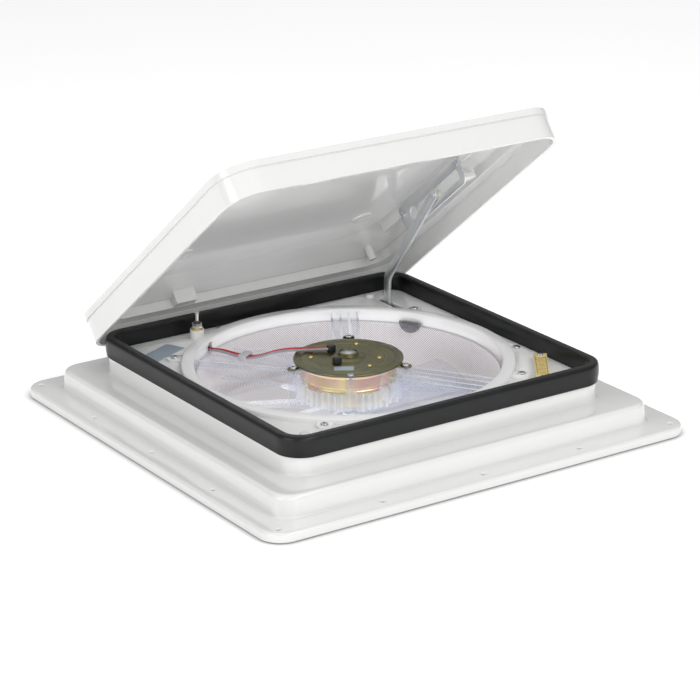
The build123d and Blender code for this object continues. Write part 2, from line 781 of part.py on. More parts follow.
with BuildPart() as lid_dome:
    with BuildSketch(lid_level(skirt_height)):
        with Locations((0, -hinge_y)):
            RectangleRounded(lid_lip_size, lid_lip_size, corner_radius + lip_overhang)
    extrude(amount=lip_height - 3)
    with BuildSketch(lid_level(lid_depth - 3)):
        with Locations((0, -hinge_y)):
            RectangleRounded(lid_lip_size, lid_lip_size, corner_radius + lip_overhang)
    extrude(amount=3, taper=40)
    lid_top_size = lid_lip_size - 5.6
    with BuildSketch(lid_level(lid_depth - 0.2)):
        with Locations((0, -hinge_y)):
            RectangleRounded(lid_top_size, lid_top_size, corner_radius)
    with BuildSketch(lid_level(lid_depth + crown_height)):
        with Locations((0, -hinge_y)):
            RectangleRounded(crown_size_x, crown_size_y, corner_radius + 26)
    loft()
    with BuildSketch(lid_level(skirt_height - 1)):
        with Locations((0, -hinge_y)):
            RectangleRounded(ledge_inner_size, ledge_inner_size, corner_radius - 8)
    extrude(amount=lid_depth - 2.6 - skirt_height + 1, mode=Mode.SUBTRACT)
    with BuildSketch(lid_level(lid_depth - 2.8)):
        with Locations((0, -hinge_y)):
            RectangleRounded(ledge_inner_size, ledge_inner_size, corner_radius - 8)
    with BuildSketch(lid_level(ceiling)):
        with Locations((0, -hinge_y)):
            RectangleRounded(crown_size_x - 5, crown_size_y - 5, corner_radius + 22)
    loft(mode=Mode.SUBTRACT)
    # Rib and bosses that carry the slotted plate.
    with BuildSketch(lid_level(lid_depth)):
        with Locations((rib_x + rib_thickness / 2, -(85 + 300) / 2)):
            Rectangle(rib_thickness, 300 - 85)
    extrude(amount=ceiling - lid_depth + 0.8)
    for reach, low in ((mount_low, 24.0), (mount_high, 16.0)):
        with BuildSketch(lid_level(low)):
            with Locations((rib_x + 6.5, -reach)):
                Rectangle(13, 12)
        extrude(amount=lid_depth + 9.5 - low)
    # Stop blocks and pads on the ceiling.
    with BuildSketch(lid_level(skirt_height)):
        with Locations((block_x, -(ledge_reach + block_length / 2 - 1))):
            Rectangle(block_width, block_length)
    extrude(amount=block_height)
    with BuildSketch(lid_level(ledge_height + 0.5)):
        with Locations((155, -37)):
            Circle(4.5)
    extrude(amount=17)
    with BuildSketch(lid_level(ceiling - 1.2)):
        for pad_x in (-112, 112):
            with Locations((pad_x, -112)):
                Circle(12)
    extrude(amount=1.6)
    with BuildSketch(lid_side(rib_x - 0.1)):
        with Locations((-mount_low, pocket + 32), (-mount_high, pocket + 35)):
            Circle(1.5)
    extrude(amount=9, mode=Mode.SUBTRACT)
    # A short drain slot in the ceiling.
    with BuildSketch(lid_level(ceiling - 0.5)):
        with Locations((-34, -249)):
            SlotOverall(12, 4.5)
    extrude(amount=1.8, mode=Mode.SUBTRACT)
save(lid_dome, "lid_dome")

with BuildPart() as hinge_pins:
    for station in hinge_stations:
        reach = ear_offset + ear_width / 2
        with BuildSketch(side_plane(station - reach)):
            with Locations((hinge_y, hinge_z)):
                Circle(pin_radius)
        extrude(amount=2 * reach)
        for start in (station - reach - 1.6, station + reach):
            with BuildSketch(side_plane(start)):
                with Locations((hinge_y, hinge_z)):
                    Circle(4)
            extrude(amount=1.6)
save(hinge_pins, "hinge_pins")

plate_start = arm_x + arm_thickness / 2 + 0.5
with BuildPart() as slide_plate:
    with BuildSketch(lid_side(plate_start)):
        with BuildLine():
            Polyline(
                (-132, pocket + 15),
                (-135, pocket + 12),
                (-263, pocket + 12),
                (-268, pocket + 17),
                (-268, pocket + 39),
                (-265, pocket + 42),
                (-134, pocket + 42),
                (-130, pocket + 38),
                close=True,
            )
        make_face()
        with Locations((-(slot_start + slot_end) / 2, slot_height)):
            SlotOverall(slot_end - slot_start + slot_width, slot_width, mode=Mode.SUBTRACT)
        with Locations((-slot_start, slot_height)):
            Circle(keyhole_radius, mode=Mode.SUBTRACT)
        with Locations((-mount_low, pocket + 32), (-mount_high, pocket + 35)):
            Circle(2.2, mode=Mode.SUBTRACT)
    extrude(amount=plate_thickness)
    with BuildSketch(lid_side(plate_start)):
        with Locations((-269, pocket + 22)):
            Rectangle(2, 5)
    extrude(amount=9)
save(slide_plate, "slide_plate")

with BuildPart() as plate_screws:
    for spot in ((-mount_low, pocket + 32), (-mount_high, pocket + 35)):
        with BuildSketch(lid_side(plate_start - 1.9)):
            with Locations(spot):
                Circle(4)
        extrude(amount=1.9)
        with BuildSketch(lid_side(plate_start)):
            with Locations(spot):
                Circle(1.45)
        extrude(amount=10)
        with BuildSketch(lid_side(plate_start - 1.9)):
            with Locations(spot):
                Rectangle(5.4, 1)
                Rectangle(1, 5.4)
        extrude(amount=0.9, mode=Mode.SUBTRACT)
save(plate_screws, "plate_screws")

# ---------- lift arm and its drive ----------
arm_start = arm_x - arm_thickness / 2
with BuildPart() as lift_arm:
    with BuildSketch(side_plane(arm_start)):
        with BuildLine() as arm_line:
            FilletPolyline((arm_pivot_y, arm_pivot_z), (arm_pivot_y, arm_bend_z), (pin_y, pin_z), radius=25)
        trace(line_width=arm_width)
        with Locations((arm_pivot_y, arm_pivot_z)):
            Circle(9)
        with Locations((pin_y, pin_z)):
            Circle(arm_width / 2)
        with Locations((arm_pivot_y, arm_pivot_z)):
            Circle(shaft_radius + 0.02, mode=Mode.SUBTRACT)
        with Locations((pin_y, pin_z)):
            Circle(pin_radius + 0.02, mode=Mode.SUBTRACT)
    extrude(amount=arm_thickness)
save(lift_arm, "lift_arm")

with BuildPart() as arm_pin:
    with BuildSketch(side_plane(arm_start)):
        with Locations((pin_y, pin_z)):
            Circle(pin_radius)
    extrude(amount=arm_thickness + 0.5 + plate_thickness + 0.4)
    for start in (arm_start - 1.6, plate_start + plate_thickness + 0.4):
        with BuildSketch(side_plane(start)):
            with Locations((pin_y, pin_z)):
                Circle(3.9)
        extrude(amount=1.6)
save(arm_pin, "arm_pin")

with BuildPart() as pin_bushing:
    with BuildSketch(side_plane(arm_start + arm_thickness + 0.05)):
        with Locations((pin_y, pin_z)):
            Circle(bushing_radius)
            Circle(pin_radius + 0.03, mode=Mode.SUBTRACT)
    extrude(amount=0.4 + plate_thickness + 0.4)
save(pin_bushing, "pin_bushing")

wheel_face = 8.0
wheel_start = worm_x - wheel_face / 2
shaft_start = wheel_start - 4.0
shaft_end = arm_x + 11.0
with BuildPart() as arm_shaft:
    with BuildSketch(side_plane(shaft_start)):
        with Locations((arm_pivot_y, arm_pivot_z)):
            Circle(shaft_radius)
    extrude(amount=shaft_end - shaft_start)
save(arm_shaft, "arm_shaft")

with BuildPart() as worm_wheel:
    with BuildSketch(side_plane(wheel_start)):
        with Locations((arm_pivot_y, arm_pivot_z)):
            Circle(wheel_radius)
            with PolarLocations(wheel_radius, 20):
                Rectangle(3.4, 2.0, mode=Mode.SUBTRACT)
            Circle(shaft_radius + 0.02, mode=Mode.SUBTRACT)
    extrude(amount=wheel_face)
save(worm_wheel, "worm_wheel")

housing_wall = 2.0
housing_left = shaft_start - 2.5
housing_right = arm_start - 1.6
housing_front = worm_y - worm_radius - 4.0
housing_back = arm_pivot_y + wheel_radius + 3.0
housing_low = arm_pivot_z - wheel_radius - 4.0
crank_radius = shaft_radius
with BuildPart() as drive_housing:
    with BuildSketch(Plane.XY.offset(housing_low)):
        with Locations(((housing_left + housing_right) / 2, (housing_front + housing_back) / 2)):
            Rectangle(housing_right - housing_left, housing_back - housing_front)
    extrude(amount=shelf_height - housing_low)
    with BuildSketch(Plane.XY.offset(housing_low + housing_wall)):
        with Locations(((housing_left + housing_right) / 2, (housing_front + housing_back) / 2)):
            Rectangle(
                housing_right - housing_left - 2 * housing_wall,
                housing_back - housing_front - 2 * housing_wall,
            )
    extrude(amount=shelf_height - housing_low - housing_wall, mode=Mode.SUBTRACT)
    with BuildSketch(side_plane(housing_left)):
        with Locations((arm_pivot_y, arm_pivot_z)):
            Circle(shaft_radius + 0.04)
    extrude(amount=housing_right - housing_left, mode=Mode.SUBTRACT)
    with BuildSketch(Plane.XY.offset(housing_low)):
        with Locations((worm_x, worm_y)):
            Circle(crank_radius + 0.04)
    extrude(amount=housing_wall, mode=Mode.SUBTRACT)
save(drive_housing, "drive_housing")

# An outboard bearing under the deck holds the far end of the arm's shaft.
with BuildPart() as shaft_bearing:
    with BuildSketch(side_plane(arm_x + arm_thickness / 2 + 1.5)):
        with Locations((arm_pivot_y, arm_pivot_z)):
            Circle(8)
        with Locations((arm_pivot_y, (arm_pivot_z + shelf_height) / 2)):
            Rectangle(16, shelf_height - arm_pivot_z)
        with Locations((arm_pivot_y, arm_pivot_z)):
            Circle(shaft_radius + 0.04, mode=Mode.SUBTRACT)
    extrude(amount=6)
save(shaft_bearing, "shaft_bearing")

crank_low = panel_bottom - 12.0
with BuildPart() as crank_shaft:
    with BuildSketch(Plane.XY.offset(crank_low)):
        with Locations((worm_x, worm_y)):
            Circle(crank_radius)
    extrude(amount=arm_pivot_z + 12 - crank_low)
    thread_low = arm_pivot_z - 9
    with BuildSketch(Plane.XY.offset(thread_low)):
        with Locations((worm_x, worm_y)):
            Circle(worm_radius - 1.2)
    extrude(amount=18)
    for turn in range(4):
        with BuildSketch(Plane.XY.offset(thread_low + 1.2 + 4.4 * turn)):
            with Locations((worm_x, worm_y)):
                Circle(worm_radius)
        extrude(amount=2.2)
save(crank_shaft, "crank_shaft")

with BuildPart() as crank_knob:
    with BuildSketch(Plane.XY.offset(crank_low - 2.0)):
        with Locations((worm_x, worm_y)):
            Circle(15)
    extrude(amount=12.5)
    with BuildSketch(Plane.XY.offset(crank_low - 2.0)):
        with Locations((worm_x, worm_y)):
            with PolarLocations(17.5, 6):
                Circle(4.5)
    extrude(amount=12.5, mode=Mode.SUBTRACT)
    with BuildSketch(Plane.XY.offset(crank_low)):
        with Locations((worm_x, worm_y)):
            Circle(crank_radius + 0.02)
    extrude(amount=12.5, mode=Mode.SUBTRACT)
    chamfer(crank_knob.edges().group_by(Axis.Z)[0], 1.0)
save(crank_knob, "crank_knob")

# The drive's front cover shows as a dark half round inside the duct.
cover_angle = 31.0
with BuildPart() as drive_cover:
    cover_spot = at_angle(duct_radius - 3.4, cover_angle)
    cover_turn = math.radians(cover_angle)
    cover_plane = Plane(
        origin=(cover_spot[0], cover_spot[1], ring_top - 8.5),
        x_dir=(-math.sin(cover_turn), math.cos(cover_turn), 0),
        z_dir=(-math.cos(cover_turn), -math.sin(cover_turn), 0),
    )
    with BuildSketch(cover_plane):
        Circle(13)
        with Locations((0, -10 if cover_plane.y_dir.Z < 0 else 10)):
            Rectangle(30, 20, mode=Mode.SUBTRACT)
    extrude(amount=4, taper=18)
    with BuildSketch(Plane.XY.offset(duct_top + 0.2)):
        with Locations(at_angle(duct_radius - 3.4, cover_angle)):
            Rectangle(6, 18, rotation=cover_angle)
    extrude(amount=3.6)
    with BuildSketch(Plane.XY.offset(duct_top)):
        Circle(duct_radius + 12)
        Circle(duct_radius - 0.05, mode=Mode.SUBTRACT)
    extrude(amount=5, mode=Mode.SUBTRACT)
save(drive_cover, "drive_cover")

# ---------- lid switch ----------
with BuildPart() as lid_switch:
    with BuildSketch(Plane.XY.offset(shelf_height - 24)):
        with Locations((switch_x, switch_y + 1)):
            Rectangle(14, 13)
    extrude(amount=24)
    with BuildSketch(Plane.XY.offset(shelf_height)):
        with Locations((switch_x, switch_y)):
            Circle(barrel_radius)
    extrude(amount=switch_boss_top + 8 - shelf_height)
    with BuildSketch(Plane.XY.offset(shelf_height - 6)):
        with Locations((switch_x, switch_y)):
            Circle(2.05)
    extrude(amount=60, mode=Mode.SUBTRACT)
save(lid_switch, "lid_switch")

with BuildPart() as switch_washer:
    with BuildSketch(Plane.XY.offset(switch_boss_top)):
        with Locations((switch_x, switch_y)):
            Circle(6.6)
            Circle(barrel_radius + 0.05, mode=Mode.SUBTRACT)
    extrude(amount=1.6)
save(switch_washer, "switch_washer")

with BuildPart() as switch_nut:
    with BuildSketch(Plane.XY.offset(switch_boss_top + 1.6)):
        with Locations((switch_x, switch_y)):
            RegularPolygon(6.0, 6)
            Circle(barrel_radius + 0.05, mode=Mode.SUBTRACT)
    extrude(amount=5)
save(switch_nut, "switch_nut")

plunger_top = 82.0
with BuildPart() as switch_plunger:
    with BuildSketch(Plane.XY.offset(shelf_height + 1)):
        with Locations((switch_x, switch_y)):
            Circle(2)
    extrude(amount=plunger_top - shelf_height - 1)
    with BuildSketch(Plane.XY.offset(plunger_top - 2)):
        with Locations((switch_x, switch_y)):
            Circle(2.7)
    extrude(amount=2)
save(switch_plunger, "switch_plunger")

# ---------- rain sensor ----------
sensor_spot = Location((sensor_x, sensor_y, 0), (0, 0, sensor_turn))
sensor_base = Plane(sensor_spot)
sensor_screw_points = ((-sensor_length / 2 + 5, 0), (sensor_length / 2 - 5, 0))
with BuildPart() as sensor_holder:
    with BuildSketch(sensor_base.offset(deck_top)):
        Rectangle(sensor_length - 4, sensor_width - 4)
        with Locations(*sensor_screw_points):
            Circle(1.55, mode=Mode.SUBTRACT)
    extrude(amount=sensor_height - deck_top)
save(sensor_holder, "sensor_holder")

with BuildPart() as rain_sensor:
    with BuildSketch(sensor_base.offset(sensor_height)):
        Rectangle(sensor_length, sensor_width)
        with Locations(*sensor_screw_points):
            Circle(1.6, mode=Mode.SUBTRACT)
    extrude(amount=1.6)
save(rain_sensor, "rain_sensor")

with BuildPart() as sensor_traces:
    with BuildSketch(sensor_base.offset(sensor_height + 1.6)):
        for edge in (-1, 1):
            with Locations((0, edge * 5.4)):
                Rectangle(54, 1)
        for finger in range(13):
            side = 1 if finger % 2 else -1
            with Locations((-24 + 4 * finger, side * 0.9)):
                Rectangle(1.6, 8.4)
    extrude(amount=0.15)
save(sensor_traces, "sensor_traces")

with BuildPart() as sensor_screws:
    for spot in sensor_screw_points:
        with BuildSketch(sensor_base.offset(sensor_height + 1.6)):
            with Locations(spot):
                Circle(3.0)
        extrude(amount=1.8)
        with BuildSketch(sensor_base.offset(deck_top)):
            with Locations(spot):
                Circle(1.5)
        extrude(amount=sensor_height + 1.6 - deck_top)
        with BuildSketch(sensor_base.offset(sensor_height + 3.4)):
            with Locations(spot):
                Rectangle(4, 0.8)
        extrude(amount=-0.9, mode=Mode.SUBTRACT)
save(sensor_screws, "sensor_screws")

with BuildPart() as rating_label:
    with BuildSketch(Plane.XY.offset(deck_top)):
        with Locations((-141, 140)):
            RectangleRounded(52, 24, 2, rotation=25)
    extrude(amount=0.3)
save(rating_label, "rating_label")

# ---------- inner panel and controls ----------
speed_spot = (-129.0, -125.0)
rocker_spot = (129.0, -125.0)
fuse_spot = (-129.0, 125.0)
panel_screw_points = [(-166, 0), (166, 0), (0, -166), (0, 166)]
with BuildPart() as inner_panel:
    with BuildSketch(Plane.XY.offset(panel_bottom)):
        RectangleRounded(2 * neck_inner - 0.6, 2 * neck_inner - 0.6, 10.5)
        Circle(screen_radius - 6, mode=Mode.SUBTRACT)
        with Locations(*panel_screw_points):
            Circle(1.85, mode=Mode.SUBTRACT)
        with Locations((worm_x, worm_y)):
            Circle(crank_radius + 0.6, mode=Mode.SUBTRACT)
        with Locations(speed_spot):
            Circle(4.05, mode=Mode.SUBTRACT)
        with Locations(rocker_spot):
            Rectangle(19.2, 13.2, mode=Mode.SUBTRACT)
        with Locations(fuse_spot):
            Circle(6.05, mode=Mode.SUBTRACT)
    extrude(amount=panel_thickness)
    # A raised ring and two bars carry the gauze.
    with BuildSketch(Plane.XY.offset(panel_top)):
        Circle(screen_radius)
        Circle(screen_radius - 6, mode=Mode.SUBTRACT)
        Rectangle(2 * screen_radius - 8, 4)
        Rectangle(4, 2 * screen_radius - 8)
    extrude(amount=2)
save(inner_panel, "inner_panel")

with BuildPart() as panel_screws:
    for spot in panel_screw_points:
        with BuildSketch(Plane.XY.offset(panel_bottom - 1.8)):
            with Locations(spot):
                Circle(3.4)
        extrude(amount=1.8)
        with BuildSketch(Plane.XY.offset(panel_bottom)):
            with Locations(spot):
                Circle(1.8)
        extrude(amount=panel_thickness)
        with BuildSketch(Plane.XY.offset(panel_bottom - 1.8)):
            with Locations(spot):
                Rectangle(4.4, 0.8)
                Rectangle(0.8, 4.4)
        extrude(amount=0.9, mode=Mode.SUBTRACT)
save(panel_screws, "panel_screws")

with BuildPart() as speed_switch:
    with BuildSketch(Plane.XY.offset(panel_top)):
        with Locations(speed_spot):
            Rectangle(22, 20)
    extrude(amount=14)
    with BuildSketch(Plane.XY.offset(panel_bottom)):
        with Locations(speed_spot):
            Circle(4)
    extrude(amount=panel_thickness)
    with BuildSketch(Plane.XY.offset(panel_bottom)):
        with Locations(speed_spot):
            Circle(2.05)
    extrude(amount=panel_thickness + 6, mode=Mode.SUBTRACT)
save(speed_switch, "speed_switch")

with BuildPart() as speed_knob:
    with BuildSketch(Plane.XY.offset(panel_bottom - 12.5)):
        with Locations(speed_spot):
            Circle(9)
    extrude(amount=12)
    with BuildSketch(Plane.XY.offset(panel_bottom - 12.5)):
        for side in (-1, 1):
            with Locations((speed_spot[0] + side * 7.4, speed_spot[1])):
                Rectangle(8, 24)
    extrude(amount=7, mode=Mode.SUBTRACT)
    with BuildSketch(Plane.XY.offset(panel_bottom - 1)):
        with Locations(speed_spot):
            Circle(2)
    extrude(amount=panel_thickness + 6)
save(speed_knob, "speed_knob")

with BuildPart() as rocker_switch:
    with BuildSketch(Plane.XY.offset(panel_bottom)):
        with Locations(rocker_spot):
            Rectangle(19, 13)
    extrude(amount=16)
    with BuildSketch(Plane.XY.offset(panel_bottom - 1.5)):
        with Locations(rocker_spot):
            Rectangle(22, 16)
    extrude(amount=1.5)
    with BuildSketch(Plane.XY.offset(panel_bottom - 1.5)):
        with Locations(rocker_spot):
            Rectangle(15.6, 9.6)
    extrude(amount=9, mode=Mode.SUBTRACT)
save(rocker_switch, "rocker_switch")

rocker_z = panel_bottom + 1.5
rocker_plane = Plane(
    origin=(rocker_spot[0], rocker_spot[1] - 4.5, rocker_z), x_dir=(1, 0, 0), z_dir=(0, 1, 0)
)
with BuildPart() as rocker_paddle:
    with BuildSketch(rocker_plane):
        with BuildLine():
            Polyline((-7.0, 3.4), (-7.0, 0.5), (0, 1.6), (7.0, 0.5), (7.0, 3.4), (0, 4.4), close=True)
        make_face()
        Circle(3)
    extrude(amount=9)
save(rocker_paddle, "rocker_paddle")

with BuildPart() as fuse_holder:
    with BuildSketch(Plane.XY.offset(panel_bottom)):
        with Locations(fuse_spot):
            Circle(6)
            Circle(3.4, mode=Mode.SUBTRACT)
    extrude(amount=30)
    with BuildSketch(Plane.XY.offset(panel_bottom - 1.6)):
        with Locations(fuse_spot):
            Circle(8)
            Circle(3.4, mode=Mode.SUBTRACT)
    extrude(amount=1.6)
save(fuse_holder, "fuse_holder")

with BuildPart() as fuse_cap:
    with BuildSketch(Plane.XY.offset(panel_bottom - 5.6)):
        with Locations(fuse_spot):
            Circle(6.4)
    extrude(amount=4)
    with BuildSketch(Plane.XY.offset(panel_bottom - 1.6)):
        with Locations(fuse_spot):
            Circle(3.35)
    extrude(amount=26)
    with BuildSketch(Plane.XY.offset(panel_bottom - 5.6)):
        with Locations(fuse_spot):
            Rectangle(9, 1.4)
    extrude(amount=1.5, mode=Mode.SUBTRACT)
save(fuse_cap, "fuse_cap")
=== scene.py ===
import json
import math

import bmesh
import bpy
from mathutils import Matrix, Vector

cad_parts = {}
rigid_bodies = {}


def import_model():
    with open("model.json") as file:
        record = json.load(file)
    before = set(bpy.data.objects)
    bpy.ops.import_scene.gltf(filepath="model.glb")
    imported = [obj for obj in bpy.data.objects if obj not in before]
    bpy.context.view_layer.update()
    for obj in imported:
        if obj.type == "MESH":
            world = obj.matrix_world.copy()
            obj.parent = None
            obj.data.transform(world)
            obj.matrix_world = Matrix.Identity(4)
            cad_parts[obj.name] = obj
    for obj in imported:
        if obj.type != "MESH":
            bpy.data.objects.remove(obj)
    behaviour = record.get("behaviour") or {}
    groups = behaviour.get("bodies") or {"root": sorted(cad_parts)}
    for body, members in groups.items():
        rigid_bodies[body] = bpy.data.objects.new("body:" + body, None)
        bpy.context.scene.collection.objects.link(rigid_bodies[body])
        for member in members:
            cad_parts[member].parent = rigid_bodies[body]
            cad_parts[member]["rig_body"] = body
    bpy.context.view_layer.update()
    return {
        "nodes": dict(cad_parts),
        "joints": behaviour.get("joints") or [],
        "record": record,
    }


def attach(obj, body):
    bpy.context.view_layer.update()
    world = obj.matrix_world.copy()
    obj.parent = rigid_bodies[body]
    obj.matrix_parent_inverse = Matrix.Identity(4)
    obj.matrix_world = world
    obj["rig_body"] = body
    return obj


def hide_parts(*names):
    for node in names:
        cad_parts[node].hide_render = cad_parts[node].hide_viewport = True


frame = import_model()
nodes = frame["nodes"]
scene = bpy.context.scene
print("frame loaded,", len(nodes), "CAD nodes")

# The camera looks down on the front left corner from a little under three metres.
cameraView = {
    "azimuth": -33.437,
    "elevation": 19.617,
    "roll": -0.656,
    "distance": 2.8225,
    "lens": 139.88,
    "aimRight": 0.00181,
    "aimUp": 0.06421,
}


def makeCamera():
    azimuth = math.radians(cameraView["azimuth"])
    elevation = math.radians(cameraView["elevation"])
    roll = math.radians(cameraView["roll"])
    back = Vector(
        (
            math.sin(azimuth) * math.cos(elevation),
            -math.cos(azimuth) * math.cos(elevation),
            math.sin(elevation),
        )
    )
    right = Vector((math.cos(azimuth), math.sin(azimuth), 0))
    up = back.cross(right)
    turnedRight = math.cos(roll) * right + math.sin(roll) * up
    turnedUp = math.cos(roll) * up - math.sin(roll) * right
    place = back * cameraView["distance"] + right * cameraView["aimRight"] + up * cameraView["aimUp"]
    data = bpy.data.cameras.new("camera")
    data.lens = cameraView["lens"]
    data.sensor_width = 36
    data.clip_start = 0.05
    camera = bpy.data.objects.new("camera", data)
    camera.matrix_world = Matrix(
        (
            (turnedRight.x, turnedUp.x, back.x, place.x),
            (turnedRight.y, turnedUp.y, back.y, place.y),
            (turnedRight.z, turnedUp.z, back.z, place.z),
            (0, 0, 0, 1),
        )
    )
    scene.collection.objects.link(camera)
    scene.camera = camera


makeCamera()


# Shader maths: an expression on values adds its Math nodes.
class Value:
    def __init__(self, tree, socket):
        self.tree = tree
        self.socket = socket

    def maths(self, operation, *others):
        node = self.tree.nodes.new("ShaderNodeMath")
        node.operation = operation
        for index, item in enumerate((self, *others)):
            if isinstance(item, Value):
                self.tree.links.new(item.socket, node.inputs[index])
            else:
                node.inputs[index].default_value = item
        return Value(self.tree, node.outputs[0])

    def __add__(self, other):
        return self.maths("ADD", other)

    def __sub__(self, other):
        return self.maths("SUBTRACT", other)

    def __mul__(self, other):
        return self.maths("MULTIPLY", other)

    def __truediv__(self, other):
        return self.maths("DIVIDE", other)

    def __rsub__(self, other):
        return self * -1 + other

    __radd__ = __add__
    __rmul__ = __mul__

    def above(self, edge):
        return self.maths("GREATER_THAN", edge)

    def power(self, exponent):
        return self.maths("POWER", exponent)

    def wave(self):
        return self.maths("SINE")


# One material and the nodes in it.
class Finish:
    def __init__(self, name):
        self.material = bpy.data.materials.new(name)
        self.material.use_nodes = True
        self.tree = self.material.node_tree
        self.tree.nodes.clear()

    def add(self, kind, settings=None, inputs=None, output=0):
        node = self.tree.nodes.new(kind)
        for key, setting in (settings or {}).items():
            if key == "stops":
                ramp = node.color_ramp
                while len(ramp.elements) < len(setting):
                    ramp.elements.new(0.5)
                for element, (place, colour) in zip(ramp.elements, setting):
                    element.position = place
                    element.color = (*colour, 1) if len(colour) == 3 else colour
            else:
                setattr(node, key, setting)
        for key, item in (inputs or {}).items():
            if isinstance(item, Value):
                self.tree.links.new(item.socket, node.inputs[key])
            elif isinstance(item, tuple) and len(item) == 3 and node.inputs[key].type == "RGBA":
                node.inputs[key].default_value = (*item, 1)
            else:
                node.inputs[key].default_value = item
        return Value(self.tree, node.outputs[output])

    def place(self, scale=(1, 1, 1), turn=(0, 0, 0), shift=(0, 0, 0)):
        spot = self.add("ShaderNodeTexCoord", output="Object")
        return self.add(
            "ShaderNodeMapping", inputs={"Vector": spot, "Scale": scale, "Rotation": turn, "Location": shift}
        )

    def noise(self, scale, detail=3.0, roughness=0.5, stretch=(1, 1, 1), shift=(0, 0, 0), turn=(0, 0, 0)):
        return self.add(
            "ShaderNodeTexNoise",
            inputs={
                "Vector": self.place(stretch, turn, shift),
                "Scale": scale,
                "Detail": detail,
                "Roughness": roughness,
            },
        )

    def fourParts(self, colour):
        return colour if isinstance(colour, Value) else (*colour, 1)

    def mixColours(self, share, first, second):
        return self.add(
            "ShaderNodeMix",
            {"data_type": "RGBA"},
            {0: share, 6: self.fourParts(first), 7: self.fourParts(second)},
            output=2,
        )

    def ramp(self, share, stops):
        return self.add("ShaderNodeValToRGB", {"stops": stops}, {"Fac": share})

    def bump(self, height, strength, distance):
        return self.add(
            "ShaderNodeBump", inputs={"Height": height, "Strength": strength, "Distance": distance}
        )

    def surface(self, **inputs):
        sockets = {key.replace("_", " "): value for key, value in inputs.items()}
        return self.add("ShaderNodeBsdfPrincipled", inputs=sockets)

    def finish(self, shader):
        output = self.tree.nodes.new("ShaderNodeOutputMaterial")
        self.tree.links.new(shader.socket, output.inputs["Surface"])
        return self.material


def mouldedPlastic(name, colour, rough, grain=0.06, coat=0.25):
    made = Finish(name)
    cloud = made.noise(9, 3)
    speck = made.noise(110, 2, 0.6)
    dark = tuple(0.965 * part for part in colour)
    tone = made.mixColours(cloud, dark, colour)
    roughness = speck * 0.08 + (rough - 0.04)
    ripple = made.noise(150, 2) * 0.5 + made.noise(38, 2) * 0.5
    normal = made.bump(ripple, grain, 0.0006)
    return made.finish(
        made.surface(
            Base_Color=tone,
            Roughness=roughness,
            Normal=normal,
            Coat_Weight=coat,
            Coat_Roughness=0.04,
            IOR=1.5,
        )
    )


def sealRubber(name):
    made = Finish(name)
    cloud = made.noise(16, 4, 0.6)
    speck = made.noise(700, 2, 0.7)
    tone = made.ramp(cloud, [(0.3, (0.0020, 0.0023, 0.0030)), (0.7, (0.0045, 0.0050, 0.0062))])
    roughness = cloud * 0.14 + speck * 0.08 + 0.22
    streaks = made.noise(60, 3, 0.6, stretch=(1, 1, 9))
    normal = made.bump(speck * 0.5 + streaks * 0.5, 0.16, 0.0005)
    return made.finish(
        made.surface(Base_Color=tone, Roughness=roughness, Normal=normal, Specular_IOR_Level=0.40)
    )


def platedSteel(name, dull, bright, rough, stretch=(1, 1, 7)):
    made = Finish(name)
    brushed = made.noise(170, 4, 0.65, stretch=stretch)
    patches = made.noise(38, 4, 0.6)
    tone = made.mixColours(brushed * 0.5 + patches * 0.5, dull, bright)
    roughness = brushed * 0.16 + patches * 0.12 + (rough - 0.14)
    normal = made.bump(brushed, 0.12, 0.0003)
    return made.finish(
        made.surface(Base_Color=tone, Roughness=roughness, Normal=normal, Metallic=1.0)
    )


def chromatedZinc(name, stops, rough):
    made = Finish(name)
    spot = made.add("ShaderNodeTexCoord", output="Object")
    parts = made.tree.nodes.new("ShaderNodeSeparateXYZ")
    made.tree.links.new(spot.socket, parts.inputs[0])
    across, along, height = (Value(made.tree, parts.outputs[index]) for index in range(3))
    radius = (across * across + along * along).power(0.5)
    cloud = made.noise(34, 4, 0.6)
    drift = made.noise(95, 3, 0.6, shift=(3, 1, 2))
    share = radius * 5.0 + cloud * 0.75 + drift * 0.30 + height * 4.0 - 0.52
    tone = made.ramp(share, stops)
    roughness = cloud * 0.14 + drift * 0.12 + rough
    normal = made.bump(drift, 0.10, 0.0004)
    return made.finish(
        made.surface(Base_Color=tone, Roughness=roughness, Normal=normal, Metallic=1.0)
    )


def clearPlastic(name, tint, grazingSheenTint, faceShare, grazingSheenShare, moulded=False):
    made = Finish(name)
    ripple = made.noise(32, 2, 0.5)
    normal = made.bump(ripple, 0.25, 0.0016)
    facing = made.add("ShaderNodeLayerWeight", inputs={"Blend": 0.40, "Normal": normal}, output="Facing")
    # Painted sheen: at grazing angles the surface turns more solid and its colour lighter, standing in for
    # light reflected along the edges.
    share = facing.power(5.0) * grazingSheenShare + ripple * 0.03 + faceShare
    if moulded:
        share = share + paintedRibShineAndFlutes(made)
    tone = made.mixColours(facing, tint, grazingSheenTint)
    solid = made.surface(
        Base_Color=tone,
        Roughness=0.07,
        Normal=normal,
        Coat_Weight=1.0,
        Coat_Roughness=0.03,
    )
    through = made.add("ShaderNodeBsdfTransparent", inputs={"Color": (0.965, 0.97, 0.985, 1)})
    return made.finish(
        made.add("ShaderNodeMixShader", inputs={0: share, 1: through, 2: solid})
    )
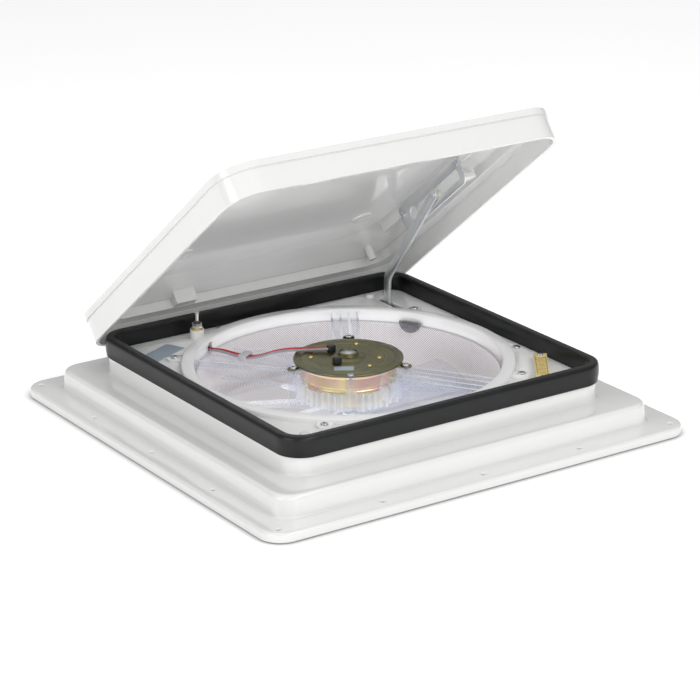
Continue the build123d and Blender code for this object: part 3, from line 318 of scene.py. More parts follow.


# The motor's mount: a painted highlight makes the upward faces of the rib tops more solid and white, and the
# thick cup wall is fluted and less clear.
def paintedRibShineAndFlutes(made):
    spot = made.add("ShaderNodeTexCoord", output="Object")
    parts = made.tree.nodes.new("ShaderNodeSeparateXYZ")
    made.tree.links.new(spot.socket, parts.inputs[0])
    across, along, height = (Value(made.tree, parts.outputs[index]) for index in range(3))
    facing = made.add("ShaderNodeNewGeometry", output="Normal")
    normal = made.tree.nodes.new("ShaderNodeSeparateXYZ")
    made.tree.links.new(facing.socket, normal.inputs[0])
    # Painted highlight: upward faces above the rib tops' height get more of the solid.
    upward = Value(made.tree, normal.outputs[2]).above(0.7)
    tops = upward * height.above(0.0490) * 0.80
    radius = (across * across + along * along).power(0.5)
    angle = along.maths("ARCTAN2", across)
    flutes = (angle * 46).wave() * 0.5 + 0.5
    inCup = height.maths("LESS_THAN", 0.0425) * radius.maths("LESS_THAN", 0.058)
    return tops + inCup * (flutes.power(2.0) * 0.14 + 0.26)


def wovenGauze(name):
    made = Finish(name)
    mapped = made.add("ShaderNodeUVMap", {"uv_map": "weave"})
    parts = made.tree.nodes.new("ShaderNodeSeparateXYZ")
    made.tree.links.new(mapped.socket, parts.inputs[0])
    across = Value(made.tree, parts.outputs[0])
    along = Value(made.tree, parts.outputs[1])
    pitch = 2 * math.pi / 0.0026
    first = ((across + along) * pitch).wave() * 0.5 + 0.5
    second = ((across - along) * pitch).wave() * 0.5 + 0.5
    threads = first.power(1.6).maths("MAXIMUM", second.power(1.6))
    cloud = made.noise(14, 3)
    tone = made.mixColours(threads, (0.66, 0.62, 0.63), (0.90, 0.87, 0.88))
    tone = made.mixColours(cloud * 0.3, tone, (0.82, 0.74, 0.76))
    normal = made.bump(threads, 0.5, 0.0006)
    solid = made.surface(Base_Color=tone, Roughness=0.62, Normal=normal)
    through = made.add("ShaderNodeBsdfTransparent", inputs={"Color": (1, 1, 1, 1)})
    cover = threads * 0.55 + 0.42
    return made.finish(
        made.add("ShaderNodeMixShader", inputs={0: cover, 1: through, 2: solid})
    )


def wireInsulation(name, colour, dark):
    made = Finish(name)
    cloud = made.noise(60, 3, 0.6)
    tone = made.mixColours(cloud, dark, colour)
    normal = made.bump(made.noise(500, 2), 0.08, 0.0003)
    return made.finish(
        made.surface(Base_Color=tone, Roughness=cloud * 0.15 + 0.28, Normal=normal, Coat_Weight=0.3)
    )


def foilLabel(name):
    made = Finish(name)
    brushed = made.noise(120, 3, 0.6, stretch=(1, 8, 1))
    tone = made.mixColours(brushed, (0.40, 0.50, 0.60), (0.60, 0.68, 0.75))
    return made.finish(
        made.surface(
            Base_Color=tone,
            Roughness=brushed * 0.2 + 0.28,
            Normal=made.bump(brushed, 0.06, 0.0002),
            Metallic=0.55,
        )
    )


def circuitBoard(name):
    made = Finish(name)
    cloth = made.noise(900, 2, 0.6)
    cloud = made.noise(45, 3)
    tone = made.mixColours(cloth * 0.5 + cloud * 0.5, (0.66, 0.50, 0.15), (0.84, 0.70, 0.34))
    return made.finish(
        made.surface(Base_Color=tone, Roughness=cloud * 0.2 + 0.25, Normal=made.bump(cloth, 0.1, 0.0003))
    )


oliveStops = (
    (0.00, (0.175, 0.165, 0.090)),
    (0.25, (0.140, 0.150, 0.095)),
    (0.45, (0.260, 0.235, 0.120)),
    (0.58, (0.185, 0.215, 0.160)),
    (0.72, (0.330, 0.270, 0.190)),
    (0.86, (0.230, 0.235, 0.165)),
    (1.00, (0.170, 0.180, 0.120)),
)
rainbowStops = (
    (0.00, (0.70, 0.60, 0.28)),
    (0.22, (0.52, 0.62, 0.40)),
    (0.38, (0.86, 0.74, 0.40)),
    (0.52, (0.88, 0.60, 0.56)),
    (0.66, (0.80, 0.76, 0.46)),
    (0.80, (0.48, 0.66, 0.56)),
    (1.00, (0.80, 0.62, 0.66)),
)
finishes = {
    "white_plastic": mouldedPlastic("whitePlastic", (0.81, 0.81, 0.80), 0.16, 0.02, 0.8),
    "seal_rubber": sealRubber("sealRubber"),
    "clear_plastic": clearPlastic("clearPlastic", (0.88, 0.91, 0.97), (0.97, 0.98, 1.0), 0.015, 0.90),
    "mount_plastic": clearPlastic("mountPlastic", (0.86, 0.89, 0.96), (0.97, 0.98, 1.0), 0.02, 0.95, True),
    # The fan ring's finish is a whiter copy of the white plastic: painted light that brightens the ring's
    # top.
    "ring_plastic": mouldedPlastic("ringPlasticPaintedLight", (0.93, 0.93, 0.925), 0.14, 0.02, 0.6),
    "zinc_steel": platedSteel("zincSteel", (0.66, 0.68, 0.70), (0.90, 0.91, 0.92), 0.34),
    "screw_steel": platedSteel("screwSteel", (0.52, 0.54, 0.60), (0.78, 0.78, 0.80), 0.28, (1, 1, 1)),
    "yellow_zinc": chromatedZinc("yellowZinc", oliveStops, 0.20),
    "can_zinc": chromatedZinc("canZinc", rainbowStops, 0.22),
    "smoked_plastic": clearPlastic("smokedPlastic", (0.10, 0.10, 0.11), (0.42, 0.42, 0.44), 0.62, 0.35),
    "bearing_steel": platedSteel("bearingSteel", (0.50, 0.50, 0.52), (0.68, 0.68, 0.70), 0.3, (1, 1, 1)),
    "ferrite": mouldedPlastic("ferrite", (0.11, 0.11, 0.12), 0.6, 0.3, 0.0),
    "copper_windings": platedSteel("copperWindings", (0.40, 0.16, 0.07), (0.66, 0.32, 0.16), 0.35, (9, 9, 1)),
    "carbon": mouldedPlastic("carbon", (0.05, 0.05, 0.05), 0.5, 0.3, 0.0),
    "black_plastic": mouldedPlastic("blackPlastic", (0.018, 0.018, 0.020), 0.36, 0.12, 0.1),
    "gold_metal": platedSteel("goldMetal", (0.60, 0.42, 0.13), (0.88, 0.70, 0.30), 0.28, (1, 1, 1)),
    "nickel": platedSteel("nickel", (0.56, 0.54, 0.49), (0.84, 0.82, 0.77), 0.22, (1, 1, 4)),
    "label_foil": foilLabel("labelFoil"),
    "red_insulation": wireInsulation("redInsulation", (0.62, 0.018, 0.030), (0.42, 0.012, 0.022)),
    "grey_insulation": wireInsulation("greyInsulation", (0.36, 0.36, 0.40), (0.25, 0.25, 0.28)),
    "grey_plastic": mouldedPlastic("greyPlastic", (0.52, 0.52, 0.54), 0.36, 0.1, 0.1),
    "nylon": mouldedPlastic("nylon", (0.80, 0.74, 0.52), 0.34, 0.08, 0.1),
    "sensor_board": circuitBoard("sensorBoard"),
    "screen_gauze": wovenGauze("screenGauze"),
    "deck_panel": mouldedPlastic("deckPanel", (0.84, 0.84, 0.835), 0.36, 0.08, 0.15),
}
print("materials made,", len(finishes))


# Mesh helpers.
def asObject(name, builder, finish, sharp=32.0):
    mesh = bpy.data.meshes.new(name)
    builder.to_mesh(mesh)
    builder.free()
    mesh.materials.append(finish)
    for face in mesh.polygons:
        face.use_smooth = True
    mesh.set_sharp_from_angle(angle=math.radians(sharp))
    piece = bpy.data.objects.new(name, mesh)
    scene.collection.objects.link(piece)
    return piece


def settle(piece, sharp=32.0):
    # Turns the piece and its modifiers into a plain mesh.
    graph = bpy.context.evaluated_depsgraph_get()
    mesh = bpy.data.meshes.new_from_object(piece.evaluated_get(graph))
    piece.modifiers.clear()
    piece.data = mesh
    for face in mesh.polygons:
        face.use_smooth = True
    mesh.set_sharp_from_angle(angle=math.radians(sharp))
    return piece


def softEdges(piece, width, segments=2, angle=34.0, sharp=50.0):
    bevel = piece.modifiers.new("edges", "BEVEL")
    bevel.width = width
    bevel.segments = segments
    bevel.limit_method = "ANGLE"
    bevel.angle_limit = math.radians(angle)
    return settle(piece, sharp)


def slotOf(node):
    for row in frame["record"]["subparts"]:
        if row["node"] == node:
            return row["material_slot"]


def bodyOf(node):
    return nodes[node]["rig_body"]


def register(piece, body, slot, *replaced):
    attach(piece, body)
    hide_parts(*replaced)
    return piece


# A copy of a CAD solid with its edges eased, in place of the sharp one.
def easedNode(node, width, segments=2, name=None):
    builder = bmesh.new()
    builder.from_mesh(nodes[node].data)
    bmesh.ops.remove_doubles(builder, verts=builder.verts, dist=2e-6)
    bmesh.ops.dissolve_limit(
        builder, angle_limit=math.radians(0.6), verts=builder.verts, edges=builder.edges
    )
    slot = slotOf(node)
    piece = asObject(name or node + "_eased", builder, finishes[slot])
    softEdges(piece, width, segments)
    return register(piece, bodyOf(node), slot, node)


def roundedProfile(points, steps=4):
    # Each point is a tuple that ends in its fillet; the profile closes on itself.
    made = []
    count = len(points)
    for index in range(count):
        here = Vector(points[index][:-1])
        fillet = points[index][-1]
        before = Vector(points[index - 1][:-1])
        after = Vector(points[(index + 1) % count][:-1])
        if fillet <= 0:
            made.append(tuple(here))
            continue
        toBefore = before - here
        toAfter = after - here
        reach = min(fillet, 0.48 * toBefore.length, 0.48 * toAfter.length)
        start = here + toBefore.normalized() * reach
        end = here + toAfter.normalized() * reach
        for step in range(steps + 1):
            share = step / steps
            point = start * (1 - share) ** 2 + here * 2 * share * (1 - share) + end * share**2
            made.append(tuple(point))
    return made


def squareLoop(halfX, halfY, radius, height, perCorner=10, perSide=5):
    # Points round a square with rounded corners, at one height.
    radius = max(min(radius, halfX, halfY), 0.0002)
    corners = []
    for quarter in range(4):
        signX = 1 if quarter in (0, 3) else -1
        signY = 1 if quarter in (0, 1) else -1
        centre = (signX * (halfX - radius), signY * (halfY - radius))
        arc = []
        for step in range(perCorner + 1):
            turn = math.radians(90 * quarter + 90 * step / perCorner)
            arc.append((centre[0] + radius * math.cos(turn), centre[1] + radius * math.sin(turn)))
        corners.append(arc)
    loop = []
    for quarter in range(4):
        loop.extend(corners[quarter])
        start = corners[quarter][-1]
        end = corners[(quarter + 1) % 4][0]
        for step in range(1, perSide + 1):
            share = step / (perSide + 1)
            loop.append((start[0] + (end[0] - start[0]) * share, start[1] + (end[1] - start[1]) * share))
    return [(x, y, height) for x, y in loop]


def skinLoops(name, loops, finish, closed=True, capLast=False, place=None, sharp=32.0):
    builder = bmesh.new()
    rings = [[builder.verts.new(point) for point in loop] for loop in loops]
    pairs = list(zip(rings, rings[1:]))
    if closed:
        pairs.append((rings[-1], rings[0]))
    for first, second in pairs:
        count = len(first)
        for index in range(count):
            following = (index + 1) % count
            builder.faces.new((first[index], first[following], second[following], second[index]))
    if capLast:
        builder.faces.new(rings[-1])
    bmesh.ops.recalc_face_normals(builder, faces=builder.faces)
    if place is not None:
        bmesh.ops.transform(builder, matrix=place, verts=builder.verts)
    return asObject(name, builder, finish, sharp)


def turned(name, profile, finish, steps=96, place=None, sharp=32.0):
    # Turns a closed profile of (radius, height) points round the Z axis.
    builder = bmesh.new()
    rings = []
    for step in range(steps):
        turn = 2 * math.pi * step / steps
        rings.append(
            [builder.verts.new((r * math.cos(turn), r * math.sin(turn), z)) for r, z in profile]
        )
    for step in range(steps):
        first = rings[step]
        second = rings[(step + 1) % steps]
        count = len(profile)
        for index in range(count):
            following = (index + 1) % count
            builder.faces.new((first[index], second[index], second[following], first[following]))
    bmesh.ops.remove_doubles(builder, verts=builder.verts, dist=1e-6)
    loose = [face for face in builder.faces if face.calc_area() < 1e-13]
    bmesh.ops.delete(builder, geom=loose, context="FACES")
    bmesh.ops.recalc_face_normals(builder, faces=builder.faces)
    if place is not None:
        bmesh.ops.transform(builder, matrix=place, verts=builder.verts)
    return asObject(name, builder, finish, sharp)


def addBlock(builder, centre, size, turn=0.0):
    place = (
        Matrix.Translation(centre)
        @ Matrix.Rotation(turn, 4, "Z")
        @ Matrix.Diagonal((size[0], size[1], size[2], 1))
    )
    bmesh.ops.create_cube(builder, size=1.0, matrix=place)


def addRod(builder, centre, radius, low, high, steps=32, topRadius=None):
    place = Matrix.Translation((centre[0], centre[1], (low + high) / 2))
    bmesh.ops.create_cone(
        builder,
        cap_ends=True,
        segments=steps,
        radius1=radius,
        radius2=radius if topRadius is None else topRadius,
        depth=high - low,
        matrix=place,
    )


# The lid's own frame: its origin is over the hinge at the closed rim's height, Y runs back along the lid.
hinge = frame["joints"][0]["pos_m"]
openAngle = math.radians(38)
lidFrame = (
    Matrix.Translation((0, hinge[1], hinge[2]))
    @ Matrix(
        (
            (1, 0, 0, 0),
            (0, math.cos(openAngle), math.sin(openAngle), 0),
            (0, -math.sin(openAngle), math.cos(openAngle), 0),
            (0, 0, 0, 1),
        )
    )
    @ Matrix.Translation((0, 0, 0.008))
)
lidCentre = lidFrame @ Matrix.Translation((0, -0.195, 0))

# Roof base: flange, two steps, upstand and neck in one closed section round the opening.
baseShape = {
    "flangeHalf": 0.250,
    "flangeTop": 0.0093,
    "flangeCorner": 0.024,
    "lowerCorner": 0.020,
    "lowerFoot": 0.2235,
    "lowerTop": 0.0309,
    "lowerShoulder": 0.2210,
    "upperHalf": 0.1875,
    "upperCorner": 0.024,
    "shelfTop": 0.0498,
    "neckHalf": 0.1768,
    "neckFoot": -0.028,
    "holeRadius": 0.0024,
}


def makeBase():
    s = baseShape
    section = [
        (s["flangeHalf"], s["flangeCorner"], 0.0, 0.0006),
        (s["flangeHalf"], s["flangeCorner"], s["flangeTop"], 0.0034),
        (s["lowerFoot"], s["lowerCorner"], s["flangeTop"], 0.0022),
        (s["lowerShoulder"], s["lowerCorner"], s["lowerTop"], 0.0042),
        (s["upperHalf"] + 0.0006, s["upperCorner"], s["lowerTop"], 0.0026),
        (s["upperHalf"], s["upperCorner"], s["shelfTop"], 0.0020),
        (0.1868, 0.024, s["shelfTop"], 0.0),
        (0.1866, 0.024, 0.0628, 0.0008),
        (0.1840, 0.0214, 0.0628, 0.0008),
        (0.1840, 0.0214, s["shelfTop"], 0.0),
        (0.1682, 0.008, s["shelfTop"], 0.0006),
        (0.1682, 0.008, 0.0470, 0.0006),
        (0.1740, 0.011, 0.0468, 0.0008),
        (0.1740, 0.011, -0.0071, 0.0),
        (0.1680, 0.011, -0.0071, 0.0006),
        (0.1680, 0.011, -0.0095, 0.0006),
        (0.1740, 0.011, -0.0095, 0.0),
        (0.1740, 0.011, s["neckFoot"], 0.0008),
        (s["neckHalf"], 0.014, s["neckFoot"], 0.0008),
        (s["neckHalf"], 0.014, 0.0467, 0.0010),
        (0.1845, 0.021, 0.0468, 0.0010),
        (0.1845, 0.021, 0.0279, 0.0010),
        (0.2178, 0.017, 0.0279, 0.0020),
        (0.2204, 0.017, 0.0063, 0.0010),
        (0.2470, 0.021, 0.0063, 0.0010),
        (0.2470, 0.021, 0.0, 0.0006),
    ]
    loops = [squareLoop(half, half, radius, z) for half, radius, z in roundedProfile(section, 5)]
    piece = skinLoops("base_shell", loops, finishes["white_plastic"], sharp=40)
    # Countersunk screw holes round the flange, cut through.
    cutter = bmesh.new()
    reach = 0.235
    steps = (-reach, -0.118, 0.0, 0.118, reach)
    for x in steps:
        for y in steps:
            if max(abs(x), abs(y)) == reach:
                addRod(cutter, (x, y), s["holeRadius"], -0.002, 0.012, 24)
                addRod(cutter, (x, y), s["holeRadius"], 0.0078, 0.0096, 24, 0.0042)
    cutterPiece = asObject("hole_cutter", cutter, finishes["white_plastic"])
    holes = piece.modifiers.new("holes", "BOOLEAN")
    holes.operation = "DIFFERENCE"
    holes.solver = "EXACT"
    holes.use_self = True
    holes.object = cutterPiece
    settle(piece, 40)
    bpy.data.objects.remove(cutterPiece)
    register(piece, "base", "white_plastic", "roof_base", "upper_frame", "neck_frame")
    # Hinge ears on the back wall of the upper step.
    ears = bmesh.new()
    for station in (-0.110, 0.110):
        for side in (-1, 1):
            x = station + side * 0.0123
            turn = Matrix.Translation((x, hinge[1], hinge[2])) @ Matrix.Rotation(math.pi / 2, 4, "Y")
            bmesh.ops.create_cone(
                ears, cap_ends=True, segments=32, radius1=0.005, radius2=0.005, depth=0.006, matrix=turn
            )
            addBlock(ears, (x, 0.1910, hinge[2]), (0.006, 0.0076, 0.010))
            addBlock(ears, (x, 0.1890, hinge[2] - 0.007), (0.004, 0.0034, 0.008))
    earPiece = asObject("hinge_ears", ears, finishes["white_plastic"])
    softEdges(earPiece, 0.0006)
    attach(earPiece, "base")


makeBase()
print("base made")

sealShape = {
    "outer": 0.1909,
    "inner": 0.1800,
    "bottom": 0.0500,
    "top": 0.0712,
    "corner": 0.028,
}


def makeSeal():
    s = sealShape
    innerCorner = s["corner"] - (s["outer"] - s["inner"])
    section = [
        (s["outer"] - 0.0006, s["corner"], s["bottom"], 0.0014),
        (s["outer"] + 0.0003, s["corner"], 0.0600, 0.0060),
        (s["outer"] - 0.0003, s["corner"], s["top"], 0.0048),
        (s["inner"] + 0.0003, innerCorner, s["top"], 0.0038),
        (s["inner"], innerCorner, 0.0600, 0.0050),
        (s["inner"] + 0.0005, innerCorner, s["bottom"], 0.0012),
        (0.1836, innerCorner + 0.0036, s["bottom"], 0.0004),
        (0.1838, innerCorner + 0.0038, 0.0631, 0.0004),
        (0.1869, 0.0241, 0.0631, 0.0004),
        (0.1871, 0.0243, s["bottom"], 0.0004),
    ]
    loops = [squareLoop(half, half, radius, z, 16, 8) for half, radius, z in roundedProfile(section, 6)]
    piece = skinLoops("seal_ring", loops, finishes["seal_rubber"], sharp=60)
    register(piece, "base", "seal_rubber", "rim_seal")


makeSeal()
print("seal made")

lidShape = {
    "rimHalf": 0.1963,
    "wall": 0.0030,
    "corner": 0.034,
    "skirtTop": 0.0248,
    "lipHalf": 0.1983,
    "shoulder": 0.0330,
    "crownHalfX": 0.150,
    "crownHalfY": 0.134,
    "crownTop": 0.0490,
    "ledge": 0.0200,
    "ledgeHalf": 0.1760,
    "ceiling": 0.0464,
}


def makeLid():
    s = lidShape
    rim = s["rimHalf"]
    lip = s["lipHalf"]
    # Each entry is half X, half Y, corner radius, height, fillet.
    section = [
        (rim - s["wall"], rim - s["wall"], 0.031, 0.0, 0.0010),
        (rim, rim, s["corner"], 0.0, 0.0012),
        (rim + 0.0010, rim + 0.0010, 0.035, s["skirtTop"] - 0.0002, 0.0005),
        (rim + 0.0002, rim + 0.0002, 0.0342, s["skirtTop"] + 0.0002, 0.0002),
        (rim + 0.0002, rim + 0.0002, 0.0342, s["skirtTop"] + 0.0008, 0.0002),
        (lip, lip, 0.036, s["skirtTop"] + 0.0012, 0.0007),
        (lip, lip, 0.036, s["shoulder"] - 0.0002, 0.0046),
        (s["crownHalfX"], s["crownHalfY"], 0.060, s["crownTop"] - 0.0008, 0.0200),
        (0.080, 0.070, 0.040, s["crownTop"], 0.0200),
        (0.0008, 0.0008, 0.0008, s["crownTop"] + 0.0002, 0.0),
    ]
    under = [
        (0.0008, 0.0008, 0.0008, s["ceiling"], 0.0),
        (s["crownHalfX"] - 0.0025, s["crownHalfY"] - 0.0025, 0.056, s["ceiling"], 0.0160),
        (s["ledgeHalf"], s["ledgeHalf"], 0.026, 0.0302, 0.0050),
        (s["ledgeHalf"], s["ledgeHalf"], 0.026, s["ledge"], 0.0016),
        (rim - s["wall"], rim - s["wall"], 0.031, s["ledge"], 0.0026),
    ]
    loops = []
    for halfX, halfY, radius, z in roundedProfile(section + under, 6):
        loops.append(squareLoop(halfX, halfY, radius, z, 14, 10))
    # The section is open at the two middle points, where the crown and the ceiling close.
    builder = bmesh.new()
    rings = [[builder.verts.new(point) for point in loop] for loop in loops]
    count = len(rings[0])
    tops = [index for index, loop in enumerate(loops) if abs(loop[0][0]) < 0.002]
    for index in range(len(rings)):
        following = (index + 1) % len(rings)
        if index in tops and following in tops:
            continue
        for step in range(count):
            after = (step + 1) % count
            builder.faces.new(
                (rings[index][step], rings[index][after], rings[following][after], rings[following][step])
            )
    for index in tops:
        builder.faces.new(rings[index])
    bmesh.ops.recalc_face_normals(builder, faces=builder.faces)
    bmesh.ops.transform(builder, matrix=lidCentre, verts=builder.verts)
    piece = asObject("lid_shell", builder, finishes["white_plastic"], 60)
    register(piece, "lid", "white_plastic", "lid_dome", "lid_skirt")


makeLid()
print("lid made")

lidFittings = {
    "ribX": 0.1505,
    "ribWidth": 0.0030,
    "ribReach": (0.085, 0.300),
    "bosses": ((0.137, 0.024), (0.261, 0.016)),
    "block": (-0.080, 0.0245, 0.026, 0.013),
    "peg": (0.155, 0.037, 0.0045),
    "pads": ((-0.112, 0.112), (0.112, 0.112)),
    "hingeStations": (-0.110, 0.110),
}


def makeLidFittings():
    s = lidFittings
    builder = bmesh.new()
    near, far = s["ribReach"]
    addBlock(builder, (s["ribX"], -(near + far) / 2, 0.0400), (s["ribWidth"], far - near, 0.0140))
    for reach, low in s["bosses"]:
        addBlock(builder, (s["ribX"] + 0.0051, -reach, (low + 0.0425) / 2), (0.0130, 0.012, 0.0425 - low))
    blockX, blockReach, blockWidth, blockLength = s["block"]
    addBlock(builder, (blockX, -blockReach, 0.0305), (blockWidth, blockLength, 0.0205))
    pegX, pegReach, pegRadius = s["peg"]
    addRod(builder, (pegX, -pegReach), pegRadius, 0.0205, 0.0375, 32, pegRadius * 1.15)
    for x, reach in s["pads"]:
        addRod(builder, (x, -reach), 0.012, 0.0452, 0.0470, 48)
    bmesh.ops.transform(builder, matrix=lidFrame, verts=builder.verts)
    piece = asObject("lid_fittings", builder, finishes["white_plastic"])
    softEdges(piece, 0.0012, 3)
    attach(piece, "lid")
    lugs = bmesh.new()
    for station in s["hingeStations"]:
        turn = Matrix.Translation((station, 0, -0.008)) @ Matrix.Rotation(math.pi / 2, 4, "Y")
        bmesh.ops.create_cone(
            lugs, cap_ends=True, segments=32, radius1=0.0045, radius2=0.0045, depth=0.018, matrix=turn
        )
        addBlock(lugs, (station, 0.0012, 0.0), (0.018, 0.0058, 0.0150))
    bmesh.ops.transform(lugs, matrix=lidFrame, verts=lugs.verts)
    lugPiece = asObject("hinge_lugs", lugs, finishes["white_plastic"])
    softEdges(lugPiece, 0.0006)
    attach(lugPiece, "lid")


makeLidFittings()
print("lid fittings made")

# Gauze basket under the fan: a flat bottom that turns up into a wall.
gauzeShape = {
    "radius": 0.1570,
    "bend": 0.024,
    "bottom": -0.0070,
    "top": 0.0450,
    "steps": 120,
}


def makeGauze():
    s = gauzeShape
    path = [(0.0015, s["bottom"])]
    for step in range(1, 9):
        path.append((0.0015 + (s["radius"] - s["bend"]) * step / 9, s["bottom"]))
    for step in range(9):
        turn = math.radians(90 * step / 8)
        path.append(
            (
                s["radius"] - s["bend"] + s["bend"] * math.sin(turn),
                s["bottom"] + s["bend"] - s["bend"] * math.cos(turn),
            )
        )
    path.append((s["radius"], s["top"]))
    builder = bmesh.new()
    weave = builder.loops.layers.uv.new("weave")
    lengths = [0.0]
    for first, second in zip(path, path[1:]):
        lengths.append(lengths[-1] + math.dist(first, second))
    rings = []
    for r, z in path:
        ring = []
        for step in range(s["steps"]):
            turn = 2 * math.pi * step / s["steps"]
            ring.append(builder.verts.new((r * math.cos(turn), r * math.sin(turn), z)))
        rings.append(ring)
    flat = len([1 for r, z in path if z <= s["bottom"] + 1e-9])
    for index in range(len(path) - 1):
        for step in range(s["steps"]):
            after = (step + 1) % s["steps"]
            face = builder.faces.new(
                (rings[index][step], rings[index][after], rings[index + 1][after], rings[index + 1][step])
            )
            corners = ((index, step), (index, step + 1), (index + 1, step + 1), (index + 1, step))
            for loop, (ringIndex, turnIndex) in zip(face.loops, corners):
                turn = 2 * math.pi * turnIndex / s["steps"]
                if index + 1 < flat:
                    r = path[ringIndex][0]
                    loop[weave].uv = (r * math.cos(turn), r * math.sin(turn))
                else:
                    loop[weave].uv = (turn * s["radius"], lengths[ringIndex])
    centre = builder.faces.new(rings[0])
    for loop in centre.loops:
        loop[weave].uv = (loop.vert.co.x, loop.vert.co.y)
    bmesh.ops.recalc_face_normals(builder, faces=builder.faces)
    piece = asObject("gauze_basket", builder, finishes["screen_gauze"], 80)
    register(piece, "base", "screen_gauze", "screen_mesh")


makeGauze()
print("gauze made")

# Geometry Nodes put copies of one piece on points, each turned as its point says.
def copiesTree():
    tree = bpy.data.node_groups.new("copies_on_points", "GeometryNodeTree")
    made = {}
    for name, kind in (
        ("Points", "NodeSocketGeometry"),
        ("Piece", "NodeSocketObject"),
        ("Finish", "NodeSocketMaterial"),
        ("Size", "NodeSocketFloat"),
    ):
        made[name] = tree.interface.new_socket(name, in_out="INPUT", socket_type=kind).identifier
    tree.interface.new_socket("Copies", in_out="OUTPUT", socket_type="NodeSocketGeometry")
    start = tree.nodes.new("NodeGroupInput")
    end = tree.nodes.new("NodeGroupOutput")
    source = tree.nodes.new("GeometryNodeObjectInfo")
    turn = tree.nodes.new("GeometryNodeInputNamedAttribute")
    turn.data_type = "FLOAT_VECTOR"
    turn.inputs["Name"].default_value = "turn"
    rotation = tree.nodes.new("FunctionNodeEulerToRotation")
    onPoints = tree.nodes.new("GeometryNodeInstanceOnPoints")
    realize = tree.nodes.new("GeometryNodeRealizeInstances")
    painted = tree.nodes.new("GeometryNodeSetMaterial")
    link = tree.links.new
    link(start.outputs["Points"], onPoints.inputs["Points"])
    link(start.outputs["Piece"], source.inputs["Object"])
    link(source.outputs["Geometry"], onPoints.inputs["Instance"])
    link(turn.outputs["Attribute"], rotation.inputs[0])
    link(rotation.outputs[0], onPoints.inputs["Rotation"])
    link(start.outputs["Size"], onPoints.inputs["Scale"])
    link(onPoints.outputs[0], realize.inputs[0])
    link(realize.outputs[0], painted.inputs["Geometry"])
    link(start.outputs["Finish"], painted.inputs["Material"])
    link(painted.outputs[0], end.inputs[0])
    return tree, made


copies, copyInputs = copiesTree()


def placeCopies(name, template, spots, finish, size=1.0, sharp=32.0):
    # Each spot is a place and a turn.
    mesh = bpy.data.meshes.new(name)
    mesh.from_pydata([place for place, turn in spots], [], [])
    attribute = mesh.attributes.new("turn", "FLOAT_VECTOR", "POINT")
    attribute.data.foreach_set("vector", [part for place, turn in spots for part in turn])
    piece = bpy.data.objects.new(name, mesh)
    scene.collection.objects.link(piece)
    modifier = piece.modifiers.new("copies", "NODES")
    modifier.node_group = copies
    modifier[copyInputs["Piece"]] = template
    modifier[copyInputs["Finish"]] = finish
    modifier[copyInputs["Size"]] = size
    settle(piece, sharp)
    piece.data.materials.clear()
    piece.data.materials.append(finish)
    return piece


screwShape = {
    "headRadius": 0.0040,
    "headHeight": 0.0019,
    "shankRadius": 0.0018,
    "shankLength": 0.0060,
    "recess": 0.0042,
    "recessWidth": 0.0009,
}


def makeScrew():
    # A pan head with a cross recess, head down on z = 0.
    s = screwShape
    profile = [(0.0, s["headHeight"])]
    for step in range(1, 8):
        turn = math.radians(90 * step / 7)
        profile.append(
            (
                s["headRadius"] - 0.0011 + 0.0011 * math.sin(turn),
                s["headHeight"] - 0.0011 + 0.0011 * math.cos(turn),
            )
        )
    profile += [(s["headRadius"], 0.0), (s["shankRadius"], 0.0)]
    profile += [(s["shankRadius"], -s["shankLength"]), (0.0, -s["shankLength"])]
    head = turned("screw_template", profile, finishes["screw_steel"], 28)
    cutter = bmesh.new()
    depth = 0.0024
    addBlock(cutter, (0, 0, s["headHeight"]), (s["recess"], s["recessWidth"], depth))
    addBlock(cutter, (0, 0, s["headHeight"]), (s["recessWidth"], s["recess"], depth))
    cutterPiece = asObject("recess_cutter", cutter, finishes["screw_steel"])
    cut = head.modifiers.new("recess", "BOOLEAN")
    cut.operation = "DIFFERENCE"
    cut.solver = "EXACT"
    cut.use_self = True
    cut.object = cutterPiece
    settle(head)
    bpy.data.objects.remove(cutterPiece)
    return head


def polar(radius, angle, z):
    turn = math.radians(angle)
    return (radius * math.cos(turn), radius * math.sin(turn), z)


def makeScrews():
    screw = makeScrew()
    up = (0.0, 0.0)
    deckSeats = []
    for side in (-1, 1):
        deckSeats.append((-0.171, side * 0.060, 0.053))
        deckSeats.append((side * 0.060, -0.171, 0.053))
    deckSeats += [(0.171, -0.060, 0.053), (0.171, 0.052, 0.053)]
    deckSeats += [(-0.052, 0.171, 0.053), (0.060, 0.171, 0.053)]
    for angle in (33.0, 141.0, 229.0, 313.0):
        deckSeats.append(polar(0.181, angle, 0.0556))
    spots = [(seat, (*up, 0.7 * index)) for index, seat in enumerate(deckSeats)]
    piece = placeCopies("deck_screw_set", screw, spots, finishes["screw_steel"])
    register(piece, "base", "screw_steel", "deck_screws")
    motorSeats = [polar(0.064, angle, 0.060) for angle in (56.0, 175.0, -57.0)]
    motorSeats.append(polar(0.054, -121.0, 0.060))
    spots = [(seat, (*up, 0.5 + index)) for index, seat in enumerate(motorSeats)]
    piece = placeCopies("motor_screw_set", screw, spots, finishes["screw_steel"], 0.9)
    register(piece, "base", "screw_steel", "motor_screws")
    panelSeats = [(-0.166, 0, -0.012), (0.166, 0, -0.012), (0, -0.166, -0.012), (0, 0.166, -0.012)]
    spots = [(seat, (math.pi, 0.0, 0.4 * index)) for index, seat in enumerate(panelSeats)]
    piece = placeCopies("panel_screw_set", screw, spots, finishes["screw_steel"], 0.85)
    register(piece, "base", "screw_steel", "panel_screws")
    sensorCentre = Vector((0.147, -0.135, 0.0600))
    along = Vector(polar(0.033, 55.5, 0))
    spots = [(tuple(sensorCentre + side * along), (*up, 0.3)) for side in (-1, 1)]
    piece = placeCopies("sensor_screw_set", screw, spots, finishes["screw_steel"], 0.75)
    register(piece, "base", "screw_steel", "sensor_screws")
    bpy.data.objects.remove(screw)


makeScrews()
print("screws made")

